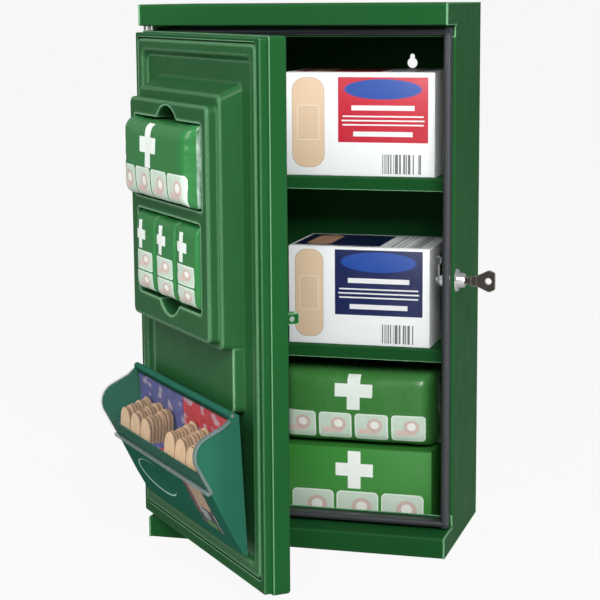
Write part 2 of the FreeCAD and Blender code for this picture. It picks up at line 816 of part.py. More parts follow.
def make_rail():
    """Top rail between the side walls, on the back wall's upper edge."""
    u0, u1 = dispenser_u()
    gap = dispenser_wall + rail_end_gap
    bar = rod(door_point(u0 + gap, rail_level, base + rail_height), V(1, 0, 0), rail_radius,
              dispenser_width - 2 * gap)
    u_inner = u0 + gap
    web = [(back_level(rail_height) + dispenser_wall, rail_height - rail_radius / 2)]
    web += [(rail_level, rail_height - rail_radius / 2), (rail_level, rail_height + rail_radius / 2)]
    web.append((back_level(rail_height) + dispenser_wall, rail_height))
    rib = side_section(u_inner, web).extrude(V(dispenser_width - 2 * gap, 0, 0))
    return bar.fuse(rib).removeSplitter()


def make_hood():
    """Clear bent hood with an ear at each end that turns on a pivot pin."""
    u0, u1 = dispenser_u()
    left = u0 - hood_overhang

    def section(v, h):
        return door_point(left, v, base + h)

    sheet_face = folded_sheet(hood_path(), hood_sheet, hood_bend_radius, section)
    hood = sheet_face.extrude(V(dispenser_width + 2 * hood_overhang, 0, 0))
    ear_gap = (rail_end_gap - hood_ear_thickness) / 2
    start, shoulder = hood_path()[:2]
    for u in (u0 + dispenser_wall + ear_gap, u1 - dispenser_wall - ear_gap - hood_ear_thickness):
        axis_end = door_point(u, rail_level, base + rail_height)
        disc = rod(axis_end, V(1, 0, 0), hood_ear_radius, hood_ear_thickness)
        arm = [(rail_level, rail_height + hood_ear_radius), (shoulder[0], shoulder[1] + hood_sheet)]
        arm += [(shoulder[0], shoulder[1]), start, (rail_level, rail_height - hood_ear_radius)]
        neck = side_section(u, arm).extrude(V(hood_ear_thickness, 0, 0))
        hood = hood.fuse([disc, neck])
        bore = rod(door_point(u - overrun, rail_level, base + rail_height), V(1, 0, 0),
                   hood_pin_radius + running_clearance, hood_ear_thickness + 2 * overrun)
        hood = hood.cut(bore)
    return hood.removeSplitter()


def make_hood_pins():
    """Pivot pins of the hood, one in each side wall."""
    u0, u1 = dispenser_u()
    inner = dispenser_wall + rail_end_gap
    starts = (u0, u1 - inner)
    return Part.makeCompound([rod(door_point(u, rail_level, base + rail_height), V(1, 0, 0),
                                  hood_pin_radius, inner) for u in starts])


def make_dispenser_screws():
    """Screws that hold the dispenser's stand-offs to the liner."""
    screws = []
    for side in (-1, 1):
        u = door_mid_u + side * screw_spacing / 2
        seat = back_level(screw_height) + dispenser_wall
        start = door_point(u, seat, base + screw_height)
        head = rod(start, V(0, -1, 0), screw_head_radius, screw_head_thickness)
        head = head.makeFillet(screw_head_thickness / 2, edges_at_level(head, start.y - screw_head_thickness))
        shank = rod(start, V(0, 1, 0), screw_radius, screw_length)
        screws.append(head.fuse(shank).removeSplitter())
    return Part.makeCompound(screws)


def refill_u(side):
    """Left and right limits of one refill in the dispenser; side is 0 or 1."""
    u0, u1 = dispenser_u()
    low = u0 + dispenser_wall + refill_gap
    high = u1 - dispenser_wall - refill_gap
    half = (high - low - refill_gap) / 2
    start = low + side * (half + refill_gap)
    return start, start + half


def make_refill(side):
    """Card refill: a wedge tray with a tall card standing at its back."""
    start, end = refill_u(side)
    inset = dispenser_wall + refill_tray_play
    low = dispenser_bottom_height + dispenser_wall + refill_lift
    top_h = refill_tray_top_height

    def rear(h):
        return back_level(h) + inset + screw_head_thickness

    tray = [(rear(low), low), (rear(refill_card_top_height), refill_card_top_height)]
    tray += [(rear(refill_card_top_height) + refill_card, refill_card_top_height)]
    tray += [(rear(top_h) + refill_card, top_h), (front_level(inset, top_h), top_h)]
    tray += [(v, h) for v, h in front_outline(inset) if low < h < top_h]
    tray.append((front_level(inset, low), low))
    return side_section(start, tray).extrude(V(end - start, 0, 0))


def make_plasters(side):
    """Rows of plasters standing in one refill, a comb of round-topped leaves per column."""
    start, end = refill_u(side)
    top_h = refill_tray_top_height
    first_v = front_level(dispenser_wall + refill_tray_play, top_h) - plaster_thick
    last_v = back_level(top_h) + dispenser_wall + refill_tray_play + screw_head_thickness + refill_card
    pitch = (first_v - last_v) * plaster_row_share
    combs = []
    for column in range(plaster_columns):
        centre = (start + end) / 2 + (column - (plaster_columns - 1) / 2) * plaster_pitch
        leaves = []
        for row in range(plaster_rows):
            v = first_v - row * pitch
            leaves.append(plaster_leaf(centre, v, top_h + plaster_rise + row * plaster_row_rise))
        strip = door_box(centre - plaster_width / 2, centre + plaster_width / 2,
                         first_v - (plaster_rows - 1) * pitch, first_v + plaster_thick,
                         base + top_h, base + top_h + plaster_thick)
        combs.append(strip.fuse(leaves).removeSplitter())
    return Part.makeCompound(combs)


def plaster_leaf(u, v, top_height):
    """One plaster with a round top, standing on the refill."""
    radius = plaster_width / 2
    foot = base + refill_tray_top_height
    shoulder = base + top_height - radius
    ends = [door_point(u + radius, v, foot), door_point(u + radius, v, shoulder)]
    ends += [door_point(u - radius, v, shoulder), door_point(u - radius, v, foot)]
    crown = Part.Arc(ends[1], door_point(u, v, shoulder + radius), ends[2]).toShape()
    edges = [Part.makeLine(ends[0], ends[1]), crown, Part.makeLine(ends[2], ends[3])]
    edges.append(Part.makeLine(ends[3], ends[0]))
    return Part.Face(Part.Wire(edges)).extrude(V(0, -plaster_thick, 0))


def on_lock_axis(x):
    """Point on the lock's axis."""
    return V(x, lock_y, lock_z)


def make_lock_housing():
    """Turned lock body: bezel and tapered nose outside, barrel through the side wall."""
    outside = width / 2
    nose_end = outside + lock_nose_length
    bezel_end = outside + lock_bezel_thickness
    tail = inner_half - lock_body_length
    chamfer = lock_bezel_radius - lock_nose_radius
    profile = [(tail, plug_radius + running_clearance), (tail, lock_body_radius), (outside, lock_body_radius)]
    profile += [(outside, lock_bezel_radius), (bezel_end, lock_bezel_radius - chamfer / 3)]
    profile += [(bezel_end, lock_nose_radius), (nose_end - chamfer / 3, lock_nose_tip_radius)]
    profile += [(nose_end, lock_nose_tip_radius - chamfer / 3), (nose_end, plug_radius + running_clearance)]
    face = polygon_face([V(x, lock_y, lock_z + r) for x, r in profile])
    return face.revolve(on_lock_axis(0), V(1, 0, 0), 360)


def make_lock_nut():
    """Hexagon nut on the lock body, against the inside of the side wall."""
    corner = nut_across_flats / 2 / math.cos(math.pi / 6)
    points = []
    for index in range(6):
        angle = (index + 0.5) * math.pi / 3
        points.append(V(inner_half, lock_y + corner * math.cos(angle), lock_z + corner * math.sin(angle)))
    nut = polygon_face(points).extrude(V(-nut_thickness, 0, 0))
    return nut.cut(rod(on_lock_axis(inner_half), V(-1, 0, 0), lock_body_radius, nut_thickness))


def make_lock_plug():
    """Turning plug with a key slot in front and a square tail behind for the cam."""
    outside = width / 2 + lock_nose_length
    tail = inner_half - lock_body_length
    barrel = rod(on_lock_axis(tail), V(1, 0, 0), plug_radius, outside - tail)
    half = plug_tail_side / 2
    square = box(cam_x, tail, lock_y - half, lock_y + half, lock_z - half, lock_z + half)
    thick = key_blade_thickness / 2 + key_slot_play
    tall = key_blade_tall / 2 + key_slot_play
    slot = box(outside - key_blade_length - key_slot_play, outside + overrun,
               lock_y - thick, lock_y + thick, lock_z - tall, lock_z + tall)
    plug = barrel.fuse(square).cut(slot)
    return plug.cut(cam_screw_shank()).removeSplitter()


def cam_screw_shank():
    """Threaded part of the cam screw, in the plug's tail."""
    return rod(on_lock_axis(cam_x), V(1, 0, 0), cam_screw_shank_radius, cam_screw_shank_length)


def make_lock_cam():
    """Hooked cam plate, pointing up when unlocked; its slot drops over the keeper pin."""
    half = cam_width / 2
    slot_low = lock_z + cam_slot_reach - cam_slot_width / 2
    slot_high = slot_low + cam_slot_width
    back = cam_x + cam_thickness
    boss = rod(on_lock_axis(cam_x), V(1, 0, 0), half, cam_thickness)
    arm = box(cam_x, back, lock_y - half, lock_y + half, lock_z, slot_high + cam_hook_tip)
    tip = box(cam_x, back, lock_y - cam_hook_drop, lock_y + half, slot_high, slot_high + cam_hook_tip)
    tip = tip.makeFillet(cam_hook_tip / 3, edges_along(tip, 0))
    side = plug_tail_side / 2 + running_clearance
    square = box(cam_x, back, lock_y - side, lock_y + side, lock_z - side, lock_z + side)
    seat = lock_y + keeper_pin_radius + cam_pin_clearance
    slot = box(cam_x, back, lock_y - cam_hook_drop, seat, slot_low, slot_high)
    return boss.fuse([arm, tip]).cut(square).cut(slot).removeSplitter()


def make_cam_screw():
    """Screw that holds the cam on the plug's tail."""
    head = rod(on_lock_axis(cam_x), V(-1, 0, 0), cam_screw_radius, cam_screw_thickness)
    return head.fuse(cam_screw_shank()).removeSplitter()


def key_plate(x0, x1, tall, thick):
    """Flat upright piece of the key on the lock's axis."""
    return box(x0, x1, lock_y - thick / 2, lock_y + thick / 2, lock_z - tall / 2, lock_z + tall / 2)


def make_key():
    """Flat key: blade in the plug, shank, collar and a bow that widens to its round corners."""
    outside = width / 2 + lock_nose_length
    shank_end = outside + key_shank_length
    collar_end = shank_end + key_collar_length
    bow_end = collar_end + key_bow_length
    blade = key_plate(outside - key_blade_length, shank_end, key_blade_tall, key_blade_thickness)
    collar = key_plate(shank_end, collar_end, key_collar_tall, key_collar_thickness)
    widest = collar_end + key_bow_widest_share * key_bow_length
    upper = [(collar_end, key_collar_tall / 2), (widest, key_bow_tall / 2), (bow_end, key_bow_end_tall / 2)]
    outline = upper + [(x, -z) for x, z in reversed(upper)]
    side_y = lock_y - key_bow_thickness / 2
    bow = polygon_face([V(x, side_y, lock_z + z) for x, z in outline]).extrude(V(0, key_bow_thickness, 0))
    bow = bow.makeFillet(key_bow_corner, [edge for edge in edges_along(bow, 1)
                                          if edge.BoundBox.XMin > collar_end + fit_clearance])
    hole_x = collar_end + key_hole_share * key_bow_length
    hole_start = V(hole_x, lock_y - key_bow_thickness, lock_z)
    hole = rod(hole_start, V(0, 1, 0), key_hole_radius, 2 * key_bow_thickness)
    return blade.fuse([collar, bow]).cut(hole).removeSplitter()


def keeper_rivet_x():
    """Rivet line of the keeper's foot."""
    return cam_x + cam_thickness / 2 - keeper_ear_gap / 2 - keeper_plate_sheet - keeper_foot / 2


def keeper_rivet_heights():
    """Heights of the keeper's two rivets."""
    return [lock_z + side * (keeper_plate_tall / 2 - keeper_foot / 2) for side in (-1, 1)]


def make_keeper():
    """Folded keeper on the door's back: a foot and two ears for the cross pin."""
    back = pan_back_y
    left = cam_x + cam_thickness / 2 - keeper_ear_gap / 2 - keeper_plate_sheet
    right = left + keeper_ear_gap + 2 * keeper_plate_sheet
    tall = keeper_plate_tall / 2
    plate = box(left - keeper_foot, right, back, back + keeper_plate_sheet, lock_z - tall, lock_z + tall)
    ear_tall = keeper_ear_tall / 2
    keeper = plate
    for x in (left, right - keeper_plate_sheet):
        ear = box(x, x + keeper_plate_sheet, back, keeper_pin_y + keeper_ear_margin,
                  lock_z - ear_tall, lock_z + ear_tall)
        keeper = keeper.fuse(ear)
    keeper = keeper.cut(rod(V(left - overrun, keeper_pin_y, lock_z), V(1, 0, 0), keeper_pin_radius,
                            right - left + 2 * overrun))
    for z in keeper_rivet_heights():
        bore = rod(V(keeper_rivet_x(), back, z), V(0, 1, 0), keeper_rivet_radius, keeper_plate_sheet)
        keeper = keeper.cut(bore)
    return keeper.removeSplitter()


def make_keeper_pin():
    """Cross pin of the keeper, which the cam hooks."""
    left = cam_x + cam_thickness / 2 - keeper_ear_gap / 2 - keeper_plate_sheet
    length = keeper_ear_gap + 2 * keeper_plate_sheet
    return rod(V(left, keeper_pin_y, lock_z), V(1, 0, 0), keeper_pin_radius, length)


def make_keeper_rivets():
    """Rivets through the keeper's foot and the door skin."""
    back = pan_back_y
    rivets = []
    for z in keeper_rivet_heights():
        head_face = back + keeper_plate_sheet
        head = rod(V(keeper_rivet_x(), head_face, z), V(0, 1, 0), keeper_rivet_head_radius, keeper_rivet_head)
        shank = rod(V(keeper_rivet_x(), head_face, z), V(0, -1, 0), keeper_rivet_radius,
                    keeper_plate_sheet + sheet + keeper_rivet_head)
        tail_start = V(keeper_rivet_x(), back - sheet, z)
        tail = rod(tail_start, V(0, -1, 0), keeper_rivet_tail_radius, keeper_rivet_head)
        rivets.append(head.fuse([shank, tail]).removeSplitter())
    return Part.makeCompound(rivets)


def make_carton(wall_gap, wide, foot, tall):
    """Folding carton standing on a shelf or on the floor."""
    right = inner_half - wall_gap
    carton = box(right - wide, right, goods_front, -sheet - carton_back_gap, foot, foot + tall)
    return carton.makeFillet(carton_edge_radius, carton.Edges)


def make_stored_pack(foot):
    """Soft dressing pack lying on the lower carton."""
    right = inner_half - stored_pack_wall_gap
    rectangle = (right - stored_pack_width, right, foot, foot + stored_pack_tall)

    def place(x, v, z):
        return V(x, goods_front - v, z)

    return pillow(rectangle, goods_front + sheet + stored_pack_back_gap, 0, place)


def cabinet_pieces():
    """Pieces fixed to the wall-hung cabinet."""
    floor = base + sheet
    pieces = {
        "wrapper": make_wrapper(),
        "top_panel": make_end_panel(top, 1),
        "bottom_panel": make_end_panel(base, -1),
        "upper_shelf": make_shelf(base + upper_shelf_height),
        "lower_shelf": make_shelf(base + lower_shelf_height),
        "door_seal": make_seal(),
        "lock_housing": make_lock_housing(),
        "lock_nut": make_lock_nut(),
        "lock_plug": make_lock_plug(),
        "lock_cam": make_lock_cam(),
        "cam_screw": make_cam_screw(),
        "key": make_key(),
        "upper_plaster_carton": make_carton(upper_carton_wall_gap, upper_carton_width,
                                            base + upper_shelf_height, upper_carton_tall),
        "lower_plaster_carton": make_carton(lower_carton_wall_gap, lower_carton_width,
                                            base + lower_shelf_height, lower_carton_tall),
        "dressing_carton": make_carton(dressing_carton_wall_gap, dressing_carton_width,
                                       floor, dressing_carton_tall),
        "stored_pack": make_stored_pack(floor + dressing_carton_tall + pack_play),
    }
    for name, seat, sign in (("upper", soffit, 1), ("lower", footer_top, -1)):
        pieces[name + "_hinge_pin"] = make_hinge_pin(seat, sign)
        pieces[name + "_hinge_spacer"] = make_spacer(seat, sign)
    return pieces


def door_pieces():
    """Pieces carried by the door, modelled closed and swung to the rest angle."""
    pieces = {
        "door_pan": make_door_pan(),
        "door_frame": make_door_frame(),
        "door_liner": make_liner(),
        "upper_pivot_bush": make_bush(pan_top, 1),
        "lower_pivot_bush": make_bush(pan_bottom, -1),
        "latch_keeper": make_keeper(),
        "keeper_pin": make_keeper_pin(),
        "keeper_rivets": make_keeper_rivets(),
        "large_dressing_pack": make_door_pack(door_mid_u, large_pack_width, large_pack_bottom,
                                              large_pack_tall, large_pack_thick),
        "dispenser_body": make_dispenser_body(),
        "dispenser_rail": make_rail(),
        "dispenser_hood": make_hood(),
        "hood_pivot_pins": make_hood_pins(),
        "dispenser_screws": make_dispenser_screws(),
    }
    for index, name in enumerate(("left", "middle", "right")):
        u = door_mid_u + (index - 1) * small_pack_pitch
        pieces[name + "_small_pack"] = make_door_pack(u, small_pack_width, small_pack_bottom,
                                                      small_pack_tall, small_pack_thick)
    for side, name in enumerate(("left", "right")):
        pieces[name + "_refill"] = make_refill(side)
        pieces[name + "_plasters"] = make_plasters(side)
    return {name: swing(shape) for name, shape in pieces.items()}


os.makedirs("parts", exist_ok=True)
for node, solid in {**cabinet_pieces(), **door_pieces()}.items():
    solid.exportStep("parts/" + node + ".step")
    print(node, len(solid.Solids), solid.isValid(), round(solid.Volume))
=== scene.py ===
import math
import random

import bmesh
import bpy
from bpy.props import FloatProperty, FloatVectorProperty, IntProperty, PointerProperty
from mathutils import Matrix, Vector, noise


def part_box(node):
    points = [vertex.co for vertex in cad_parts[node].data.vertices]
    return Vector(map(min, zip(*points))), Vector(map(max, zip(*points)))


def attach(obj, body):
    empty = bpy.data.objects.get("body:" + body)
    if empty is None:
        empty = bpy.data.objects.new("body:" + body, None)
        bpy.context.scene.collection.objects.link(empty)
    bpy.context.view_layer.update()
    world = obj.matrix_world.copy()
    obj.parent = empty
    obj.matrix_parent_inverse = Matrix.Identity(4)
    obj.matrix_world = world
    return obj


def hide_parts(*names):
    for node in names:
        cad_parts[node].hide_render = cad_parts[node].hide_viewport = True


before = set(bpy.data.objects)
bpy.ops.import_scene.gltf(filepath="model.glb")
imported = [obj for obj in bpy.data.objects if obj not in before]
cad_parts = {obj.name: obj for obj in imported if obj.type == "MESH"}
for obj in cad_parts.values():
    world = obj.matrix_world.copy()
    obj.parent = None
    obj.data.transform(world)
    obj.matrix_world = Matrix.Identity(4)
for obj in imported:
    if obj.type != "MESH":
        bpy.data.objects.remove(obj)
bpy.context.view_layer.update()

bl_info = {
    "name": "First aid cabinet",
    "version": (1, 0, 0),
    "blender": (4, 5, 0),
    "location": "View3D > Sidebar > First aid",
    "description": "Paints and fills a lockable first aid cabinet with an open door",
    "category": "Object",
}

# Places on the door are given for the closed door and then swung open with it
HINGE = Vector((-0.1535, -0.167, 0.0))
REST_ANGLE = math.radians(49.4)
OPEN = Matrix.Translation(HINGE) @ Matrix.Rotation(-REST_ANGLE, 4, "Z") @ Matrix.Translation(-HINGE)

# Hinge edge, outer face and half width of the closed door and half the cabinet's height, in millimetres
DOOR_EDGE, DOOR_FACE, DOOR_MIDDLE, HALF_TALL = -160, -180, 160, 280
FOOT = -0.280

# Angles up to which neighbouring faces are shaded as one surface
SMOOTH_ANGLE = math.radians(32)
FILM_SMOOTH_ANGLE = math.radians(80)

# Softness of printed edges in millimetres, and of printed ovals as a share of their size
PRINT_BLUR, OVAL_BLUR = 0.3, 0.08


def mm(*values):
    """Millimetres as a vector in metres."""
    return Vector(values) * 0.001


def on_door(u, v, z):
    """Point of the closed door: across from the hinge edge, out from the face, up from the middle."""
    return mm(DOOR_EDGE + u, DOOR_FACE - v, z)


def above_foot(u, v, height):
    """Point of the closed door, its height taken from the foot of the cabinet."""
    return on_door(u, v, height - HALF_TALL)


def verts_of(parts):
    """The vertices among mixed mesh parts."""
    return [part for part in parts if isinstance(part, bmesh.types.BMVert)]


def paint(red, green, blue):
    """Eight bit colour of a screen as the linear colour that a shader takes."""
    def linear(part):
        part /= 255
        return part / 12.92 if part <= 0.04045 else ((part + 0.055) / 1.055) ** 2.4
    return (linear(red), linear(green), linear(blue), 1.0)


def shade(colour, by):
    """Colour made darker or lighter."""
    return tuple(min(1.0, part * by) for part in colour[:3]) + (1.0,)


# Materials
class Finish:
    """A node material that grows from its Principled shader."""

    def __init__(self, name, colour, **sockets):
        self.material = bpy.data.materials.new(name)
        self.material.use_nodes = True
        self.nodes = self.material.node_tree.nodes
        self.links = self.material.node_tree.links
        self.shader = self.nodes["Principled BSDF"]
        self.colour = tuple(colour[:3]) + (1.0,)
        self.normal = None
        for socket, value in sockets.items():
            self.shader.inputs[socket.replace("_", " ")].default_value = value

    def feed(self, socket, value):
        """Links a socket or sets its value."""
        if isinstance(value, bpy.types.NodeSocket):
            self.links.new(value, socket)
        else:
            socket.default_value = value

    def add(self, kind, inputs, **settings):
        """New node with its settings and inputs, as its outputs."""
        node = self.nodes.new("ShaderNode" + kind)
        for name, value in settings.items():
            setattr(node, name, value)
        for key, value in inputs.items():
            self.feed(node.inputs[key], value)
        return node.outputs

    def sum(self, operation, first, second=0.0, third=0.0, clamp=False):
        """Math node."""
        inputs = {0: first, 1: second, 2: third}
        return self.add("Math", inputs, operation=operation, use_clamp=clamp)[0]

    def noise(self, scale, detail=2.0, stretch=(1, 1, 1)):
        """Soft noise from 0 to 1 over the piece's own coordinates, stretched."""
        where = self.add("TexCoord", {})["Object"]
        where = self.add("Mapping", {"Vector": where, "Scale": stretch})[0]
        return self.add("TexNoise", {"Vector": where, "Scale": scale, "Detail": detail})[0]

    def spread(self, value, low, high):
        """Noise, most of which lies from 0.3 to 0.7, stretched between two numbers."""
        return self.add("MapRange", {0: value, 1: 0.3, 2: 0.7, 3: low, 4: high})[0]

    def mix(self, low, high, factor):
        """Two colours mixed."""
        return self.add("Mix", {0: factor, 6: low, 7: high}, data_type="RGBA")[2]

    def mottle(self, scale, by, detail=2.0):
        """Colour that wanders a little."""
        factor = self.spread(self.noise(scale, detail), 1 - by, 1 + by)
        self.colour = self.add("Mix", {0: 1.0, 6: self.colour, 7: factor}, data_type="RGBA",
                               blend_type="MULTIPLY")[2]
        return self

    def rough(self, scale, low, high, detail=2.0, stretch=(1, 1, 1)):
        """Roughness that wanders between two values."""
        value = self.spread(self.noise(scale, detail, stretch), low, high)
        self.feed(self.shader.inputs["Roughness"], value)
        return self

    def relief(self, height, depth, strength):
        """Bump over what is already there, its depth in metres."""
        inputs = {"Height": height, "Distance": depth, "Strength": strength}
        if self.normal is not None:
            inputs["Normal"] = self.normal
        self.normal = self.add("Bump", inputs)[0]
        return self

    def clear_round(self, reach):
        """How free the piece leaves the space in front of a point, 1 where nothing is near."""
        return self.add("AmbientOcclusion", {"Distance": reach}, samples=6, only_local=True)["AO"]

    def painted_edge_highlight(self, width, pale, share):
        """Painted highlight: paler colour along the outer edges, where their rounding would catch the
        light.
        """
        rounded = self.add("Bevel", {"Radius": width}, samples=6)[0]
        flat = self.add("NewGeometry", {})["Normal"]
        turned = self.add("VectorMath", {0: rounded, 1: flat}, operation="DOT_PRODUCT")["Value"]
        edge = self.add("MapRange", {0: turned, 1: 0.995, 2: 0.93, 3: 0.0, 4: share})[0]
        outer = self.add("MapRange", {0: self.clear_round(0.008), 1: 0.8, 2: 0.95})[0]
        self.colour = self.mix(self.colour, pale, self.sum("MULTIPLY", edge, outer))
        return self

    def hollows(self, reach, dark, share):
        """Deeper colour in narrow gaps, where little light gets in."""
        gap = self.add("MapRange", {0: self.clear_round(reach), 1: 0.75, 2: 0.25, 3: 0.0, 4: share})[0]
        self.colour = self.mix(self.colour, dark, gap)
        return self

    def done(self):
        """Links colour and bump to the shader and gives the material."""
        self.feed(self.shader.inputs["Base Color"], self.colour)
        if self.normal is not None:
            self.links.new(self.normal, self.shader.inputs["Normal"])
        return self.material


class Print(Finish):
    """A finish with shapes printed on it, laid out in millimetres on the piece's print map."""

    def __init__(self, name, colour, **sockets):
        super().__init__(name, colour, **sockets)
        uv = self.add("UVMap", {}, uv_map="print")[0]
        self.where = self.add("VectorMath", {0: uv, 1: (1000, 1000, 0)}, operation="MULTIPLY")[0]

    def vector(self, operation, first, second=(0, 0, 0)):
        """Vector math node."""
        return self.add("VectorMath", {0: first, 1: second}, operation=operation)

    def panel(self, x0, z0, x1, z1, corner=0.4):
        """Rounded rectangle as a factor."""
        middle = ((x0 + x1) / 2, (z0 + z1) / 2, 0)
        flat = ((x1 - x0) / 2 - corner, (z1 - z0) / 2 - corner, 0)
        off = self.vector("ABSOLUTE", self.vector("SUBTRACT", self.where, middle)[0])[0]
        out = self.vector("MAXIMUM", self.vector("SUBTRACT", off, flat)[0])[0]
        length = self.vector("LENGTH", out)["Value"]
        return self.sum("MULTIPLY_ADD", length, -1 / PRINT_BLUR, corner / PRINT_BLUR + 0.5, clamp=True)

    def oval(self, x, z, half_wide, half_tall):
        """Ellipse as a factor."""
        off = self.vector("SUBTRACT", self.where, (x, z, 0))[0]
        off = self.vector("DIVIDE", off, (half_wide, half_tall, 1))[0]
        length = self.vector("LENGTH", off)["Value"]
        return self.sum("MULTIPLY_ADD", length, -1 / OVAL_BLUR, 1 / OVAL_BLUR + 0.5, clamp=True)

    def lay(self, factor, colour):
        """Prints a colour where the factor is 1."""
        self.colour = self.mix(self.colour, colour, factor)
        return self

    def cross(self, x, z, size, arm, colour):
        """Upright equal-armed cross."""
        half, thick = size / 2, arm / 2
        self.lay(self.panel(x - half, z - thick, x + half, z + thick), colour)
        return self.lay(self.panel(x - thick, z - half, x + thick, z + half), colour)

    def bars(self, x0, z0, x1, z1, width, colour):
        """Plain upright bars of uneven width."""
        across = self.add("SeparateXYZ", {0: self.where})[0]
        step = self.sum("FLOOR", self.sum("DIVIDE", across, width))
        chance = self.add("TexWhiteNoise", {"W": step}, noise_dimensions="1D")[0]
        dark = self.sum("GREATER_THAN", chance, 0.48)
        return self.lay(self.sum("MULTIPLY", dark, self.panel(x0, z0, x1, z1, 0.1)), colour)

    def lines(self, x, z, lengths, tall, pitch, colour):
        """Plain stripes under each other, all with one middle."""
        for row, length in enumerate(lengths):
            level = z - row * pitch
            low, high = level - tall / 2, level + tall / 2
            self.lay(self.panel(x - length / 2, low, x + length / 2, high, 0.3), colour)
        return self

    def plaster(self, x0, z0, x1, z1, colour):
        """Round-ended plaster with its pad."""
        wide, tall = x1 - x0, z1 - z0
        x, z = (x0 + x1) / 2, (z0 + z1) / 2
        self.lay(self.panel(x0 - 0.5, z0 - 0.5, x1 + 0.5, z1 + 0.5, wide * 0.42), shade(colour, 0.62))
        self.lay(self.panel(x0, z0, x1, z1, wide * 0.41), colour)
        pad = (x - wide * 0.33, z - tall * 0.19, x + wide * 0.33, z + tall * 0.19)
        seam = (pad[0] - 0.6, pad[1] - 0.6, pad[2] + 0.6, pad[3] + 0.6)
        self.lay(self.panel(*seam, 1.0), paint(246, 236, 222))
        return self.lay(self.panel(*pad, 0.8), shade(colour, 0.97))

    def picture(self, x0, z0, x1, z1):
        """Rounded pale panel with a plain strip and roll on it."""
        wide, tall = x1 - x0, z1 - z0
        mark, centre = paint(222, 198, 188), x0 + wide * 0.6
        strip = (x0 + wide * 0.12, z0 + tall * 0.22, x1 - wide * 0.3, z0 + tall * 0.42)
        self.lay(self.panel(x0, z0, x1, z1, min(wide, tall) * 0.14), paint(226, 240, 226))
        inside = self.panel(x0 + 1.3, z0 + 1.3, x1 - 1.3, z1 - 1.3, min(wide, tall) * 0.1)
        self.lay(inside, paint(202, 220, 204))
        self.lay(self.panel(*strip, 1.0), mark)
        self.lay(self.oval(centre, z0 + tall * 0.56, wide * 0.24, tall * 0.27), shade(mark, 0.88))
        core = self.oval(centre, z0 + tall * 0.58, wide * 0.13, tall * 0.15)
        return self.lay(core, paint(240, 240, 234))

    def pictures(self, starts, z0, z1, wide):
        """Row of equal picture panels."""
        for x0 in starts:
            self.picture(x0, z0, x0 + wide, z1)
        return self


def steel_paint(name, colour):
    """Baked powder paint: satin, with a faint orange peel and a painted highlight along its outer
    edges.
    """
    finish = Finish(name, colour, Specular_IOR_Level=0.04)
    finish.mottle(9, 0.04).rough(30, 0.38, 0.46).painted_edge_highlight(0.0016, paint(150, 205, 160), 0.7)
    return finish.relief(finish.noise(700, 1.0), 0.00006, 0.35).done()


def moulded(name, colour, low, high, grain, **sockets):
    """Moulded plastic: even colour, fine grain."""
    finish = Finish(name, colour, **sockets)
    finish.mottle(14, 0.04).rough(45, low, high)
    return finish.relief(finish.noise(grain, 2.0), 0.00004, 0.3).done()


def metal(name, colour, low, high, stretch):
    """Bare or plated metal with fine working marks."""
    finish = Finish(name, colour, Metallic=1.0)
    finish.mottle(60, 0.06).rough(160, low, high, 3.0, stretch)
    return finish.relief(finish.noise(1500, 2.0, stretch), 0.00003, 0.3).done()


def film_on(finish, fine, coarse):
    """Crackle and creases of a thin wrapping film."""
    finish.relief(finish.noise(coarse, 3.0, (1, 1, 0.5)), 0.0012, 0.5)
    finish.relief(finish.noise(fine, 2.0), 0.0003, 0.4)
    return finish.rough(70, 0.22, 0.38)


# Meshes
def spare_mesh(low, high):
    """A box between two corners as a new bmesh."""
    bm = bmesh.new()
    add_box(bm, low, high)
    return bm


def add_box(bm, low, high):
    """A box between two corners, as its vertices."""
    size = Vector(high) - Vector(low)
    middle = (Vector(high) + Vector(low)) / 2
    place = Matrix.Translation(middle) @ Matrix.Diagonal(size.to_4d())
    return bmesh.ops.create_cube(bm, size=1.0, matrix=place)["verts"]


def round_edges(bm, edges, offset, segments=3):
    """Rounded edges."""
    bmesh.ops.bevel(bm, geom=edges, offset=offset, offset_type="OFFSET", segments=segments,
                    profile=0.5, affect="EDGES", material=-1, clamp_overlap=True)


def edges_along(bm, axis):
    """Edges that run along an axis."""
    found = []
    for edge in bm.edges:
        run = edge.verts[1].co - edge.verts[0].co
        if abs(run[axis]) > 0.999 * run.length:
            found.append(edge)
    return found


def print_map(bm):
    """Front view of the closed piece as its print map, and plan of what faces up."""
    layer = bm.loops.layers.uv.get("print") or bm.loops.layers.uv.new("print")
    for face in bm.faces:
        for loop in face.loops:
            place = loop.vert.co
            loop[layer].uv = (place.x, place.y if face.normal.z > 0.9 else place.z)


def piece(name, bm, body, materials, place=None, angle=SMOOTH_ANGLE):
    """The finished mesh as an object that rides on its body."""
    if place is not None:
        bmesh.ops.transform(bm, matrix=place, verts=bm.verts)
    mesh = bpy.data.meshes.new(name)
    bm.to_mesh(mesh)
    bm.free()
    for material in materials:
        mesh.materials.append(material)
    mesh.shade_smooth()
    mesh.set_sharp_from_angle(angle=angle)
    made = bpy.data.objects.new(name, mesh)
    bpy.context.collection.objects.link(made)
    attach(made, body)
    return made


def dress(material, *nodes):
    """Gives CAD nodes their finish."""
    for name in nodes:
        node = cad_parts[name]
        for slot in node.material_slots:
            slot.material = material


